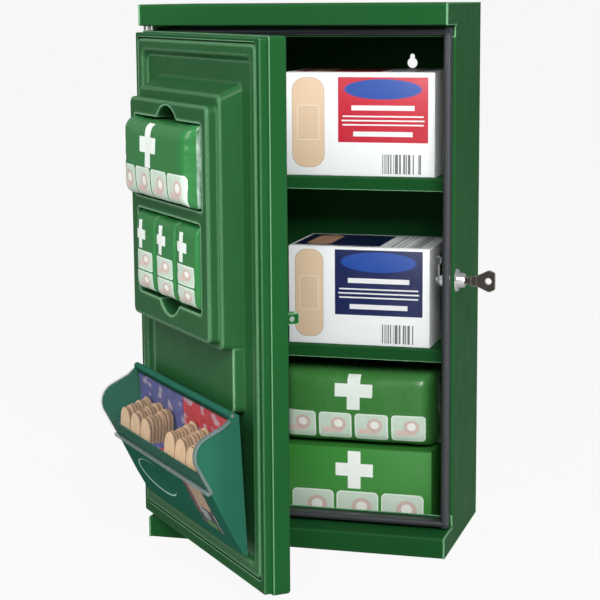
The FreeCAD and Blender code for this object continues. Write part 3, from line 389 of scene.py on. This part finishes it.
# Settings
class CabinetColours(bpy.types.PropertyGroup):
    """Colours of the cabinet's finishes."""

    steel: FloatVectorProperty(name="Steel paint", description="Paint on the cabinet and the door",
                               subtype="COLOR", size=4, min=0, max=1, default=paint(25, 77, 37))
    liner: FloatVectorProperty(name="Liner", description="Moulded liner of the door", subtype="COLOR",
                               size=4, min=0, max=1, default=paint(36, 86, 46))
    film: FloatVectorProperty(name="Film", description="Wrapping film of the dressing packs",
                              subtype="COLOR", size=4, min=0, max=1, default=paint(42, 116, 58))
    dispenser: FloatVectorProperty(name="Dispenser", description="Moulded plaster dispenser",
                                   subtype="COLOR", size=4, min=0, max=1, default=paint(40, 96, 78))
    plaster: FloatVectorProperty(name="Plaster", description="Cloth of the plasters", subtype="COLOR",
                                 size=4, min=0, max=1, default=paint(226, 184, 138))


class CabinetSizes(bpy.types.PropertyGroup):
    """Sizes of the pieces that are modelled here."""

    card: FloatProperty(name="Card", description="Thickness of carton card", unit="LENGTH",
                        default=0.0006, min=0.0001)
    leaf: FloatProperty(name="Plaster leaf", description="Thickness of one wrapped plaster",
                        unit="LENGTH", default=0.0015, min=0.0001)
    rows: IntProperty(name="Plaster rows", description="Plasters behind each other in a column",
                      default=8, min=1)
    crease: FloatProperty(name="Crease", description="Depth of the creases at the ends of a pack",
                          unit="LENGTH", default=0.0013, min=0)


class CabinetStage(bpy.types.PropertyGroup):
    """Light and lens."""

    focal: FloatProperty(name="Focal length", description="Lens of the camera",
                         subtype="DISTANCE_CAMERA", default=108.4, min=1)
    key_power: FloatProperty(name="Key light", description="Power of the large front light",
                             unit="POWER", default=90.0, min=0)
    strip_power: FloatProperty(name="Left light", unit="POWER", default=42.0, min=0,
                               description="Power of the tall soft light on the left")
    fill_power: FloatProperty(name="Fill light", description="Power of the side light", unit="POWER",
                              default=38.0, min=0)
    surround: FloatProperty(name="Surround", description="Strength of the even light all round",
                            default=0.28, min=0)


# Operators
class FIRSTAID_OT_steelwork(bpy.types.Operator):
    """Paints the folded sheet metal of the cabinet and the door"""
    bl_idname = "firstaid.steelwork"
    bl_label = "Steelwork"

    def execute(self, context):
        colours = context.scene.firstaid_colours
        green = steel_paint("green_powder_paint", colours.steel)
        dress(green, "wrapper", "top_panel", "bottom_panel", "upper_shelf", "lower_shelf", "door_pan",
              "door_frame", "latch_keeper")
        return {"FINISHED"}


class FIRSTAID_OT_liner(bpy.types.Operator):
    """Finishes the moulded liner of the door"""
    bl_idname = "firstaid.liner"
    bl_label = "Door liner"

    def execute(self, context):
        colour = context.scene.firstaid_colours.liner
        green = Finish("liner_green_plastic", colour, Specular_IOR_Level=0.1)
        # Pale green along the liner's outer edges is a painted highlight.
        green.mottle(14, 0.04).rough(45, 0.3, 0.38).painted_edge_highlight(0.004, paint(150, 200, 158), 0.75)
        dress(green.relief(green.noise(900, 2.0), 0.00004, 0.3).done(), "door_liner")
        return {"FINISHED"}


class FIRSTAID_OT_hardware(bpy.types.Operator):
    """Finishes the seal, the hinge, the lock, the key and the latch"""
    bl_idname = "firstaid.hardware"
    bl_label = "Seal, hinge and lock"

    def execute(self, context):
        rubber = moulded("seal_black_rubber", paint(52, 53, 58), 0.35, 0.45, 1200)
        dress(rubber, "door_seal")
        dress(moulded("bush_black_nylon", paint(30, 30, 31), 0.4, 0.5, 1000), "upper_pivot_bush",
              "lower_pivot_bush")
        zinc = metal("zinc_plated_steel", paint(176, 178, 176), 0.25, 0.4, (1, 1, 6))
        dress(zinc, "upper_hinge_pin", "lower_hinge_pin", "upper_hinge_spacer", "lower_hinge_spacer",
              "keeper_pin", "keeper_rivets", "lock_cam", "cam_screw", "lock_nut",
              "hood_pivot_pins", "dispenser_screws")
        chrome = metal("lock_chrome", paint(240, 240, 241), 0.14, 0.22, (4, 1, 1))
        dress(chrome, "lock_housing", "lock_plug")
        # The key's nickel takes a dark colour that stands in for its dark reflections, a painted
        # reflection; its pale edges are a painted highlight.
        nickel = Finish("key_nickel_painted_dark", paint(84, 78, 72), Metallic=1.0)
        drawn = (1, 1, 5)
        nickel.mottle(60, 0.1).rough(160, 0.22, 0.34, 3.0, drawn)
        nickel.painted_edge_highlight(0.0012, paint(206, 198, 188), 0.8)
        dress(nickel.relief(nickel.noise(1500, 2.0, drawn), 0.00003, 0.3).done(), "key")
        return {"FINISHED"}


class FIRSTAID_OT_dispenser(bpy.types.Operator):
    """Finishes the plaster dispenser with its clear hood and its refill cards"""
    bl_idname = "firstaid.dispenser"
    bl_label = "Plaster dispenser"

    # Height and reach of the front wall's belly, and how far it runs out per height above and below
    belly_height, belly_out = 79.9, 19.2
    upper_slope, lower_slope = 0.49, 0.557

    # Left and right end of the hood, width of its rims, and thickness of the rims in metres
    hood_left, hood_right, rim_wide, rim_thick = 30.6, 289.4, 3.2, 0.0026

    def execute(self, context):
        colours = context.scene.firstaid_colours
        body = moulded("dispenser_green_plastic", colours.dispenser, 0.34, 0.44, 800,
                       Specular_IOR_Level=0.0)
        dress(body, "dispenser_body", "dispenser_rail")
        clear = Finish("hood_clear_plastic", paint(78, 98, 90), Alpha=0.06, Specular_IOR_Level=0.5)
        clear.mottle(30, 0.05).rough(40, 0.04, 0.08)
        dress(clear.relief(clear.noise(25, 2.0), 0.0002, 0.1).done(), "dispenser_hood")
        for node, colour in (("left_refill", paint(92, 92, 150)), ("right_refill", paint(196, 52, 66))):
            card = Finish(node + "_card", colour, Specular_IOR_Level=0.4)
            blots = card.add("MapRange", {0: card.noise(48, 1.0, (1, 1, 1.6)), 1: 0.58, 2: 0.64})[0]
            card.colour = card.mix(card.colour, paint(196, 176, 190), card.sum("MULTIPLY", blots, 0.7))
            card.mottle(110, 0.2, 4.0).rough(80, 0.4, 0.55)
            dress(card.relief(card.noise(1800, 2.0), 0.00004, 0.3).done(), node)
        self.label()
        self.oval_place(body)
        self.hood_edges()
        return {"FINISHED"}

    def on_front(self, u, height, out):
        """Point on the front wall, a little out of it: the wall bends at its belly."""
        slope = self.upper_slope if height > self.belly_height else self.lower_slope
        return above_foot(u, self.belly_out + (height - self.belly_height) * slope + out, height)

    def label(self):
        """Plain label with colour fields on the front wall."""
        finish = Print("dispenser_label_print", paint(36, 42, 38), Coat_Weight=0.2)
        fields = (
            ((49, -196, 61, -150, 0.5), paint(150, 22, 40)),
            ((59, -196, 67, -150, 0.5), paint(214, 214, 210)),
            ((62, -188, 95, -163, 6), paint(222, 190, 156)),
            ((63, -200, 80, -190, 1), paint(206, 210, 206)),
            ((62, -209, 88, -201, 0.5), paint(98, 168, 64)),
            ((95, -209, 98, -190, 0.5), paint(206, 210, 206)),
        )
        for outline, colour in fields:
            finish.lay(finish.panel(*outline), colour)
        finish.rough(50, 0.25, 0.4)
        film = finish.relief(finish.noise(90, 2.0), 0.0003, 0.3).done()
        bm = bmesh.new()
        rows = []
        for height in (119, self.belly_height, 71):
            rows.append([bm.verts.new(self.on_front(u, height, 0.15)) for u in (208, 260)])
        for above, below in zip(rows, rows[1:]):
            bm.faces.new((above[0], above[1], below[1], below[0]))
        bmesh.ops.solidify(bm, geom=bm.faces[:], thickness=0.0002)
        bmesh.ops.recalc_face_normals(bm, faces=bm.faces)
        print_map(bm)
        piece("dispenser_label", bm, "door", [film], OPEN)

    def oval_place(self, plastic):
        """Bare raised oval on the front wall."""
        bm = bmesh.new()
        tilt = Matrix.Rotation(math.pi / 2 + math.atan(self.upper_slope), 4, "X")
        half_size = Matrix.Diagonal((0.05, 0.018, 1, 1))
        place = Matrix.Translation(self.on_front(110, 92.5, -0.3)) @ tilt @ half_size
        bmesh.ops.create_circle(bm, cap_ends=True, radius=1.0, segments=64, matrix=place)
        raised = bmesh.ops.extrude_face_region(bm, geom=bm.faces[:])
        out = tilt.to_3x3() @ Vector((0, 0, 0.0009))
        bmesh.ops.translate(bm, verts=verts_of(raised["geom"]), vec=out if out.y < 0 else -out)
        bmesh.ops.recalc_face_normals(bm, faces=bm.faces)
        top = [face for face in bm.faces if len(face.verts) > 8 and face.normal.y < 0]
        rim = bmesh.ops.inset_region(bm, faces=top, thickness=0.0012, depth=-0.0004)
        for face in rim["faces"]:
            face.material_index = 1
        pale = moulded("dispenser_oval_rim", paint(168, 204, 182), 0.35, 0.45, 800)
        piece("dispenser_oval_place", bm, "door", [plastic, pale], OPEN)

    def hood_edges(self):
        """Thick polished rims along the hood's two sides and a bar along its lip."""
        finish = Finish("hood_edge_plastic", paint(128, 142, 142), Alpha=0.55)
        finish.mottle(80, 0.12).rough(60, 0.12, 0.28)
        frosted = finish.relief(finish.noise(300, 2.0), 0.0002, 0.3).done()
        start, shoulder = Vector((20.8, 188.2)), Vector((27.0, 183.0))
        corner, lip, radius = Vector((63.5, 165.5)), Vector((39.6, 120.5)), 20.0
        back, down = (shoulder - corner).normalized(), (lip - corner).normalized()
        half = back.angle(down) / 2
        centre = corner + (back + down).normalized() * radius / math.sin(half)
        enter = corner + back * radius / math.tan(half)
        right_rim = self.hood_right - self.rim_wide
        for name, u in (("hood_left_edge", self.hood_left), ("hood_right_edge", right_rim)):
            bm = bmesh.new()
            chain = [bm.verts.new(above_foot(u, *point)) for point in (start, shoulder, enter)]
            for first, second in zip(chain, chain[1:]):
                bm.edges.new((first, second))
            turned = bmesh.ops.spin(bm, geom=[chain[-1]], cent=above_foot(u, *centre),
                                    axis=(1, 0, 0), angle=math.pi - 2 * half, steps=12)
            last = verts_of(turned["geom_last"])[0]
            bm.edges.new((last, bm.verts.new(above_foot(u, *lip))))
            side = bmesh.ops.extrude_edge_only(bm, edges=bm.edges[:])["geom"]
            bmesh.ops.translate(bm, vec=mm(self.rim_wide, 0, 0), verts=verts_of(side))
            bmesh.ops.recalc_face_normals(bm, faces=bm.faces)
            bmesh.ops.solidify(bm, geom=bm.faces[:], thickness=self.rim_thick)
            bmesh.ops.recalc_face_normals(bm, faces=bm.faces)
            piece(name, bm, "hood", [frosted], OPEN)
        bm = spare_mesh(on_door(self.hood_left, 43.4, -161.2), on_door(self.hood_right, 39.4, -157.4))
        round_edges(bm, bm.edges[:], 0.0012)
        piece("hood_lip_bar", bm, "hood", [frosted], OPEN)


class FIRSTAID_OT_plasters(bpy.types.Operator):
    """Stands the plasters in the refills of the dispenser"""
    bl_idname = "firstaid.plasters"
    bl_label = "Plasters"

    # Width of a leaf, distance of the columns and rows, and level of the leaves' feet
    wide, column_pitch, row_pitch, foot = 27.0, 29.0, 3.3, -145

    # Reach and height of the front row, and how much higher each row behind it stands
    front_out, front_tall, rise = 42.7, 22.5, 1.15

    def execute(self, context):
        sizes, colours = context.scene.firstaid_sizes, context.scene.firstaid_colours
        tones = {"left": shade(colours.plaster, 0.92), "right": shade(colours.plaster, 1.02)}
        for side, middle in (("left", 97.85), ("right", 222.15)):
            cloth = self.cloth(side, tones[side])
            # The leaves' sides take a much darker brown than their faces: painted shade between the
            # leaves.
            edge = Finish(side + "_plaster_shaded_sides", shade(tones[side], 0.34)).mottle(400, 0.2)
            edge = edge.rough(300, 0.6, 0.8).done()
            bm = self.leaves(middle, sizes, random.Random(middle))
            made = piece(side + "_plaster_leaves", bm, "door", [cloth, edge], OPEN)
            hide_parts(side + "_plasters")
        return {"FINISHED"}

    def cloth(self, side, colour):
        """Woven skin-coloured cloth."""
        finish = Finish(side + "_plaster_cloth", colour, Sheen_Weight=0.3)
        # Brown in the gaps between the leaves is painted shade.
        finish.mottle(120, 0.1, 3.0).hollows(0.006, paint(150, 92, 50), 0.85).rough(200, 0.65, 0.85)
        return finish.relief(finish.noise(2200, 1.0), 0.0001, 0.5).done()

    def leaves(self, middle, sizes, chance):
        """Three columns of round-topped leaves, the rear ones standing higher."""
        bm = bmesh.new()
        thick = sizes.leaf * 1000
        for column in range(3):
            centre = middle + (column - 1) * self.column_pitch
            for row in range(sizes.rows):
                v = self.front_out - row * self.row_pitch + chance.uniform(-0.3, 0.3)
                tall = self.front_tall + row * self.rise + chance.uniform(-0.8, 0.8)
                self.leaf(bm, centre + chance.uniform(-0.4, 0.4), v, tall, thick, chance)
        bmesh.ops.recalc_face_normals(bm, faces=bm.faces)
        for face in bm.faces:
            face.material_index = 0 if abs(face.normal.y) > 0.7 else 1
        return bm

    def leaf(self, bm, u, v, tall, thick, chance):
        """One leaf, bent a little out of its plane."""
        low = on_door(u - self.wide / 2, v + thick, self.foot)
        high = on_door(u + self.wide / 2, v, self.foot + tall)
        verts = add_box(bm, low, high)
        crowns = [edge for edge in bm.edges if edge.verts[0] in verts and edge.verts[1] in verts
                  and abs(edge.verts[0].co.y - edge.verts[1].co.y) > thick * 0.0005
                  and edge.verts[0].co.z > low.z + 0.001]
        made = bmesh.ops.bevel(bm, geom=crowns, offset=self.wide * 0.00048, offset_type="OFFSET",
                               segments=7, profile=0.5, affect="EDGES", material=-1)
        lean, bow = chance.uniform(0.03, 0.1), chance.uniform(-0.8, 0.8)
        touched = set(made["verts"]) | {vert for vert in verts if vert.is_valid}
        for vert in touched:
            up = vert.co.z - low.z
            across = (vert.co.x - (low.x + high.x) / 2) / (self.wide * 0.0005)
            vert.co.y += up * lean + bow * 0.001 * (1 - across * across) * up / (tall * 0.001)


class FIRSTAID_OT_cartons(bpy.types.Operator):
    """Puts the printed cartons on the shelves"""
    bl_idname = "firstaid.cartons"
    bl_label = "Cartons"

    def execute(self, context):
        card = context.scene.firstaid_sizes.card
        white = paint(246, 247, 249)
        plain = self.plain("white_carton_card", white)
        prints = {
            "upper_plaster_carton": (paint(196, 40, 58), (32, 138, 127, 205), (79, 106, 120, 126),
                                     (-17, 112, 17, 204)),
            "lower_plaster_carton": (paint(22, 32, 84), (28, -43, 122, 26), (75, -72, 116, -52),
                                     (-15, -67, 15, 25)),
        }
        for node, (colour, *shapes) in prints.items():
            front = self.plaster_front(node + "_front", white, colour, *shapes)
            top = self.plaster_top(node + "_top", white, colour)
            self.carton(node, [front, plain, top], card, "white_card")
        green = paint(58, 136, 54)
        side = self.plain("green_carton_card", green)
        self.carton("dressing_carton", [self.dressing_front(green), side, side], card, "green_card")
        return {"FINISHED"}

    def plain(self, name, colour):
        """Coated card without print."""
        finish = Finish(name, colour, Coat_Weight=0.1)
        finish.mottle(25, 0.02).rough(60, 0.42, 0.55)
        return finish.relief(finish.noise(30, 2.0), 0.0006, 0.2).done()

    def card_face(self, finish):
        """Slight waviness and sheen of a printed carton."""
        finish.rough(60, 0.35, 0.48)
        return finish.relief(finish.noise(22, 2.0), 0.0008, 0.25).done()

    def plaster_front(self, name, ground, colour, panel, bars, plaster):
        """Front of a plaster carton: plaster, plain colour panel, bars."""
        finish = Print(name, ground, Coat_Weight=0.15)
        finish.plaster(*plaster, paint(232, 203, 172))
        finish.lay(finish.panel(*panel, 1.0), colour)
        middle, top = (panel[0] + panel[2]) / 2, panel[3]
        wide, tall, pale = panel[2] - panel[0], panel[3] - panel[1], paint(238, 238, 240)
        oval = finish.oval(middle, top - tall * 0.185, wide * 0.43, tall * 0.155)
        finish.lay(oval, paint(30, 74, 160))
        finish.lines(middle, top - tall * 0.47, (wide * 0.7,), tall * 0.075, 1, pale)
        finish.lines(middle, top - tall * 0.6, (wide * 0.9, wide * 0.92, wide * 0.9), tall * 0.022,
                     tall * 0.065, pale)
        finish.lines(middle, top - tall * 0.87, (wide * 0.66,), tall * 0.075, 1, pale)
        finish.bars(*bars, 0.62, paint(30, 30, 32))
        return self.card_face(finish)

    def plaster_top(self, name, ground, colour):
        """Lid of a plaster carton: colour panel with a plaster, and a field of fine stripes."""
        finish = Print(name, ground)
        finish.lay(finish.panel(-19, -104, 74, -20, 1.0), shade(colour, 0.6))
        finish.plaster(-8, -98, 18, -26, paint(196, 150, 118))
        finish.lines(48, -92, (34, 44, 40, 30), 3.0, 16, shade(colour, 1.6))
        finish.bars(82, -106, 127, -20, 1.5, paint(150, 154, 152))
        return self.card_face(finish)

    def dressing_front(self, ground):
        """Front of the dressing carton: cross and three picture panels."""
        finish = Print("dressing_carton_print", ground, Coat_Weight=0.2)
        finish.cross(48.5, -210.5, 41, 14, paint(240, 244, 240))
        return self.card_face(finish.pictures((-20, 29, 78), -273, -234, 46))

    def carton(self, node, materials, card, slot):
        """Folded carton with a tucked lid whose edges show."""
        low, high = (Vector(corner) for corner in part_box(node))
        bm = spare_mesh(low, high - Vector((0, 0, card)))
        round_edges(bm, edges_along(bm, 2) + edges_along(bm, 0), 0.0008, 2)
        lid = bmesh.new()
        lid_low = Vector((low.x + 0.0005, low.y + 0.0003, high.z - card))
        lid_high = Vector((high.x - 0.0005, high.y - 0.0003, high.z))
        add_box(lid, lid_low, lid_high)
        round_edges(lid, edges_along(lid, 2), 0.004, 4)
        spare = bpy.data.meshes.new("lid")
        lid.to_mesh(spare)
        lid.free()
        bm.from_mesh(spare)
        bpy.data.meshes.remove(spare)
        bmesh.ops.recalc_face_normals(bm, faces=bm.faces)
        for face in bm.faces:
            face.material_index = 0 if face.normal.y < -0.9 else 2 if face.normal.z > 0.9 else 1
        print_map(bm)
        made = piece(node + "_folded", bm, "cabinet", materials)
        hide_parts(node)


class FIRSTAID_OT_packs(bpy.types.Operator):
    """Fills the dressing packs of the door and the shelf and prints their film"""
    bl_idname = "firstaid.packs"
    bl_label = "Dressing packs"

    # Reach of the pockets' floor, and the door's packs across, out and up
    pocket_floor, large_size, small_size = 9.3, (174, 35, 76), (52, 23, 80)

    # How full a pack is at its rim, what its belly and its dome add, and how square it ends
    rim, belly, flat, dome, end_power, side_power = 0.62, 0.38, 0.95, 0.05, 26, 9

    # How far the middle of a pack draws in across and up
    neck, waist = 0.012, 0.02

    # How often creases and swellings come across, out and up, and the swellings' depth in metres
    crease_rate, swell_rate, swell_depth = (60, 120, 190), (34, 20, 30), 0.0007

    def execute(self, context):
        colours = context.scene.firstaid_colours
        self.ends = self.bare_film_and_glints(colours.film)
        self.pack(context, "large_dressing_pack", on_door(DOOR_MIDDLE, self.pocket_floor, 134),
                  self.large_size, "door", OPEN, self.large_print(colours.film))
        names = ("left_small_pack", "middle_small_pack", "right_small_pack")
        for name, u in zip(names, (104.5, DOOR_MIDDLE, 215.5)):
            self.pack(context, name, on_door(u, self.pocket_floor, 40), self.small_size, "door", OPEN,
                      self.small_print(name, colours.film, u - DOOR_MIDDLE))
        low, high = (Vector(corner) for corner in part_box("stored_pack"))
        middle = Vector(((low.x + high.x) / 2, high.y, (low.z + high.z) / 2))
        # The stored pack's film is a lighter, yellower green than the door's packs: partly its own
        # tone, partly a painted sheen of the film.
        self.pack(context, "stored_pack", middle, (168, (high.y - low.y) * 1000, 84), "cabinet", None,
                  self.stored_print(paint(62, 124, 60)))
        return {"FINISHED"}

    def large_print(self, film):
        """Cross and four picture panels of the large pack."""
        finish = Print("large_pack_film", film, Specular_IOR_Level=0.4)
        finish.cross(-9, 149, 43, 15, paint(240, 246, 240))
        finish.pictures((-86, -43.5, -1, 41.5), 97, 127, 40)
        return film_on(finish, 420, 60).done()

    def small_print(self, name, film, x):
        """Cross and two picture panels of a small pack, with its folded edge."""
        finish = Print(name + "_film", film, Specular_IOR_Level=0.4)
        finish.cross(x - 11.5, 57, 28, 9.5, paint(240, 246, 240))
        for z0 in (1.5, 22):
            finish.picture(x - 23, z0, x + 20, z0 + 19)
        finish.lay(finish.panel(x - 40, -10, x - 24.2, 41), paint(176, 186, 188))
        return film_on(finish, 460, 80).done()

    def stored_print(self, film):
        """Cross and four picture panels of the stored pack."""
        finish = Print("stored_pack_film", film, Specular_IOR_Level=0.4)
        # The cross is printed darker than on the door's packs: painted shade inside the cabinet.
        finish.cross(47.5, -124.5, 41, 14, paint(228, 236, 230))
        finish.pictures((-30, 9.5, 49, 88.5), -177, -149, 36)
        return film_on(finish, 420, 55).done()

    def bare_film_and_glints(self, film):
        """Sealed end of a pack: bare film in a darker green, with silvery streaks that are a painted
        reflection of the crimped film.
        """
        finish = Finish("bare_film_and_glints", film, Specular_IOR_Level=0.5)
        # Silvery streaks: painted reflection of the crimped film.
        streaks = finish.spread(finish.noise(85, 3.0, (1, 2.2, 0.5)), -0.25, 1.1)
        finish.colour = finish.mix(shade(film, 0.8), paint(188, 206, 196), streaks)
        finish.relief(finish.noise(160, 3.0, (1, 1, 0.35)), 0.0016, 0.8)
        return finish.rough(90, 0.18, 0.34).done()

    def pack(self, context, node, rear, size, body, place, film):
        """One film-wrapped pack: a full pillow on a flat back, creased towards its sealed ends."""
        wide, thick, tall = (value * 0.001 for value in size)
        deep = context.scene.firstaid_sizes.crease
        low, high = Vector((-wide / 2, -thick, -tall / 2)), Vector((wide / 2, 0, tall / 2))
        bm = spare_mesh(rear + low, rear + high)
        bmesh.ops.subdivide_edges(bm, edges=bm.edges, cuts=31, use_grid_fill=True)
        for vert in bm.verts:
            a = (vert.co.x - rear.x) / (wide / 2)
            c = (vert.co.z - rear.z) / (tall / 2)
            b = (rear.y - vert.co.y) / thick
            ends = max(0.0, 1 - abs(a) ** self.end_power) ** 0.5
            sides = max(0.0, 1 - abs(c) ** self.side_power) ** 0.5
            full = self.rim + self.belly * ends * sides
            full *= self.flat + self.dome * (1 - a * a) * (1 - c * c)
            vert.co.y = rear.y - thick * b * full
            vert.co.x = rear.x + a * wide / 2 * (1 - self.neck * (1 - c * c))
            vert.co.z = rear.z + c * tall / 2 * (1 - self.waist * (1 - a * a))
        bmesh.ops.recalc_face_normals(bm, faces=bm.faces)
        print_map(bm)
        bmesh.ops.smooth_vert(bm, verts=bm.verts, factor=0.5, use_axis_x=True, use_axis_y=True,
                              use_axis_z=True)
        for vert in bm.verts:
            a = abs(vert.co.x - rear.x) / (wide / 2)
            b = (rear.y - vert.co.y) / thick
            crease = noise.noise(self.at_rate(vert.co, self.crease_rate))
            swell = noise.noise(self.at_rate(vert.co, self.swell_rate) + rear * 50)
            depth = deep * crease * a ** 6 + self.swell_depth * swell
            vert.co += vert.normal * depth * min(1.0, b * 4)
        bm.normal_update()
        for face in bm.faces:
            end = abs(face.calc_center_median().x - rear.x) / (wide / 2)
            face.material_index = 1 if wide > 0.1 and end > 0.975 else 0
        made = piece(node + "_wrapped", bm, body, [film, self.ends], place,
                     FILM_SMOOTH_ANGLE)
        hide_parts(node)

    def at_rate(self, point, rates):
        """Point with each axis stretched by its own rate."""
        return Vector([part * rate for part, rate in zip(point, rates)])


class FIRSTAID_OT_stage(bpy.types.Operator):
    """Sets the floor, the lights and the camera"""
    bl_idname = "firstaid.stage"
    bl_label = "Stage"

    # How much white the floor shows to the eye, and how much white it and the surround show in mirrors
    floor_white, floor_mirrored, surround_mirrored = 0.92, 0.06, 0.08

    def execute(self, context):
        settings = context.scene.firstaid_stage
        self.floor()
        self.surround(context, settings.surround)
        front, raised = (0, -0.15, 0), (0, -0.15, 0.3)
        self.lamp("key_light", (0.95, -2.6, 1.5), front, (1.3, 1.0), settings.key_power)
        self.lamp("left_softbox", (-1.35, -2.3, 1.25), raised, (0.8, 2.4), settings.strip_power)
        self.lamp("side_strip", (2.6, -0.5, 0.5), front, (0.6, 2.2), settings.fill_power)
        self.camera(context, settings.focal)
        context.scene.view_settings.view_transform = "Standard"
        return {"FINISHED"}

    def floor(self):
        """Pale floor under the cabinet that keeps its shadow."""
        bm = bmesh.new()
        bmesh.ops.create_grid(bm, x_segments=1, y_segments=1, size=400.0,
                              matrix=Matrix.Translation((0, 0, FOOT - 0.0005)))
        finish = Finish("floor_pale", (0.42, 0.42, 0.42), Specular_IOR_Level=0.1)
        finish.mottle(3, 0.01).rough(5, 0.7, 0.8)
        rays = finish.add("LightPath", {})
        seen = finish.sum("MAXIMUM", rays["Is Camera Ray"], rays["Is Transmission Ray"])
        seen = finish.sum("MULTIPLY_ADD", rays["Is Glossy Ray"], self.floor_mirrored, seen, clamp=True)
        glow = finish.add("Emission", {"Color": (1, 1, 1, 1), "Strength": 1.0})[0]
        share = finish.sum("MULTIPLY", seen, self.floor_white)
        material = finish.done()
        mixed = finish.add("MixShader", {0: share, 1: finish.shader.outputs[0], 2: glow})[0]
        finish.links.new(mixed, finish.nodes["Material Output"].inputs["Surface"])
        mesh = bpy.data.meshes.new("floor")
        bm.to_mesh(mesh)
        bm.free()
        mesh.materials.append(material)
        floor = bpy.data.objects.new("floor", mesh)
        bpy.context.collection.objects.link(floor)

    def surround(self, context, strength):
        """White surround to the eye, an even soft light to the object."""
        world = bpy.data.worlds.new("studio")
        world.use_nodes = True
        nodes, links = world.node_tree.nodes, world.node_tree.links
        seen = nodes["Background"]
        seen.inputs["Color"].default_value = (1, 1, 1, 1)
        light = nodes.new("ShaderNodeBackground")
        light.inputs["Color"].default_value = (1, 1, 1, 1)
        light.inputs["Strength"].default_value = strength
        rays = nodes.new("ShaderNodeLightPath")
        straight = nodes.new("ShaderNodeMath")
        straight.operation = "MAXIMUM"
        links.new(rays.outputs["Is Camera Ray"], straight.inputs[0])
        links.new(rays.outputs["Is Transmission Ray"], straight.inputs[1])
        mirrored = nodes.new("ShaderNodeMath")
        mirrored.operation = "MULTIPLY_ADD"
        mirrored.inputs[1].default_value = self.surround_mirrored
        links.new(rays.outputs["Is Glossy Ray"], mirrored.inputs[0])
        links.new(straight.outputs[0], mirrored.inputs[2])
        mixed = nodes.new("ShaderNodeMixShader")
        links.new(mirrored.outputs[0], mixed.inputs[0])
        links.new(light.outputs[0], mixed.inputs[1])
        links.new(seen.outputs[0], mixed.inputs[2])
        links.new(mixed.outputs[0], nodes["World Output"].inputs["Surface"])
        context.scene.world = world

    def lamp(self, name, place, target, size, power):
        """Soft lamp that faces a point, its size across and up."""
        data = bpy.data.lights.new(name, "AREA")
        data.shape = "RECTANGLE"
        data.size, data.size_y = size
        data.energy = power
        lamp = bpy.data.objects.new(name, data)
        away = Vector(place) - Vector(target)
        turn = away.to_track_quat("Z", "Y").to_matrix().to_4x4()
        lamp.matrix_world = Matrix.Translation(place) @ turn
        bpy.context.collection.objects.link(lamp)

    def camera(self, context, focal):
        """Camera to the right of the cabinet and a little above it."""
        yaw, pitch, roll = (math.radians(angle) for angle in (15.86, -9.56, -0.39))
        ahead = Vector((-math.sin(yaw) * math.cos(pitch), math.cos(yaw) * math.cos(pitch),
                        math.sin(pitch)))
        right = ahead.cross(Vector((0, 0, 1))).normalized()
        up = right.cross(ahead)
        across = right * math.cos(roll) + up * math.sin(roll)
        upright = up * math.cos(roll) - right * math.sin(roll)
        turn = Matrix((across, upright, -ahead)).transposed().to_4x4()
        data = bpy.data.cameras.new("camera")
        data.lens, data.sensor_width = focal, 36.0
        camera = bpy.data.objects.new("camera", data)
        camera.matrix_world = Matrix.Translation((0.5044, -1.924, 0.2877)) @ turn
        context.collection.objects.link(camera)
        context.scene.camera = camera


class FIRSTAID_PT_panel(bpy.types.Panel):
    """Steps that dress the cabinet"""
    bl_idname = "FIRSTAID_PT_panel"
    bl_label = "First aid cabinet"
    bl_space_type = "VIEW_3D"
    bl_region_type = "UI"
    bl_category = "First aid"

    def draw(self, context):
        for step in STEPS:
            self.layout.operator(step.bl_idname)


STEPS = (FIRSTAID_OT_steelwork, FIRSTAID_OT_liner, FIRSTAID_OT_hardware, FIRSTAID_OT_dispenser,
         FIRSTAID_OT_plasters, FIRSTAID_OT_cartons, FIRSTAID_OT_packs, FIRSTAID_OT_stage)
SETTINGS = {"firstaid_colours": CabinetColours, "firstaid_sizes": CabinetSizes,
            "firstaid_stage": CabinetStage}


def register():
    """Registers the settings, the steps and the panel."""
    for made in (*SETTINGS.values(), *STEPS, FIRSTAID_PT_panel):
        bpy.utils.register_class(made)
    for name, group in SETTINGS.items():
        setattr(bpy.types.Scene, name, PointerProperty(type=group))


def unregister():
    """Takes them out again."""
    for name in SETTINGS:
        delattr(bpy.types.Scene, name)
    for made in reversed((*SETTINGS.values(), *STEPS, FIRSTAID_PT_panel)):
        bpy.utils.unregister_class(made)


def main():
    """Dresses the cabinet step by step."""
    register()
    bpy.ops.firstaid.steelwork()
    bpy.ops.firstaid.liner()
    bpy.ops.firstaid.hardware()
    bpy.ops.firstaid.dispenser()
    bpy.ops.firstaid.plasters()
    bpy.ops.firstaid.cartons()
    bpy.ops.firstaid.packs()
    bpy.ops.firstaid.stage()


if __name__ == "__main__":
    main()
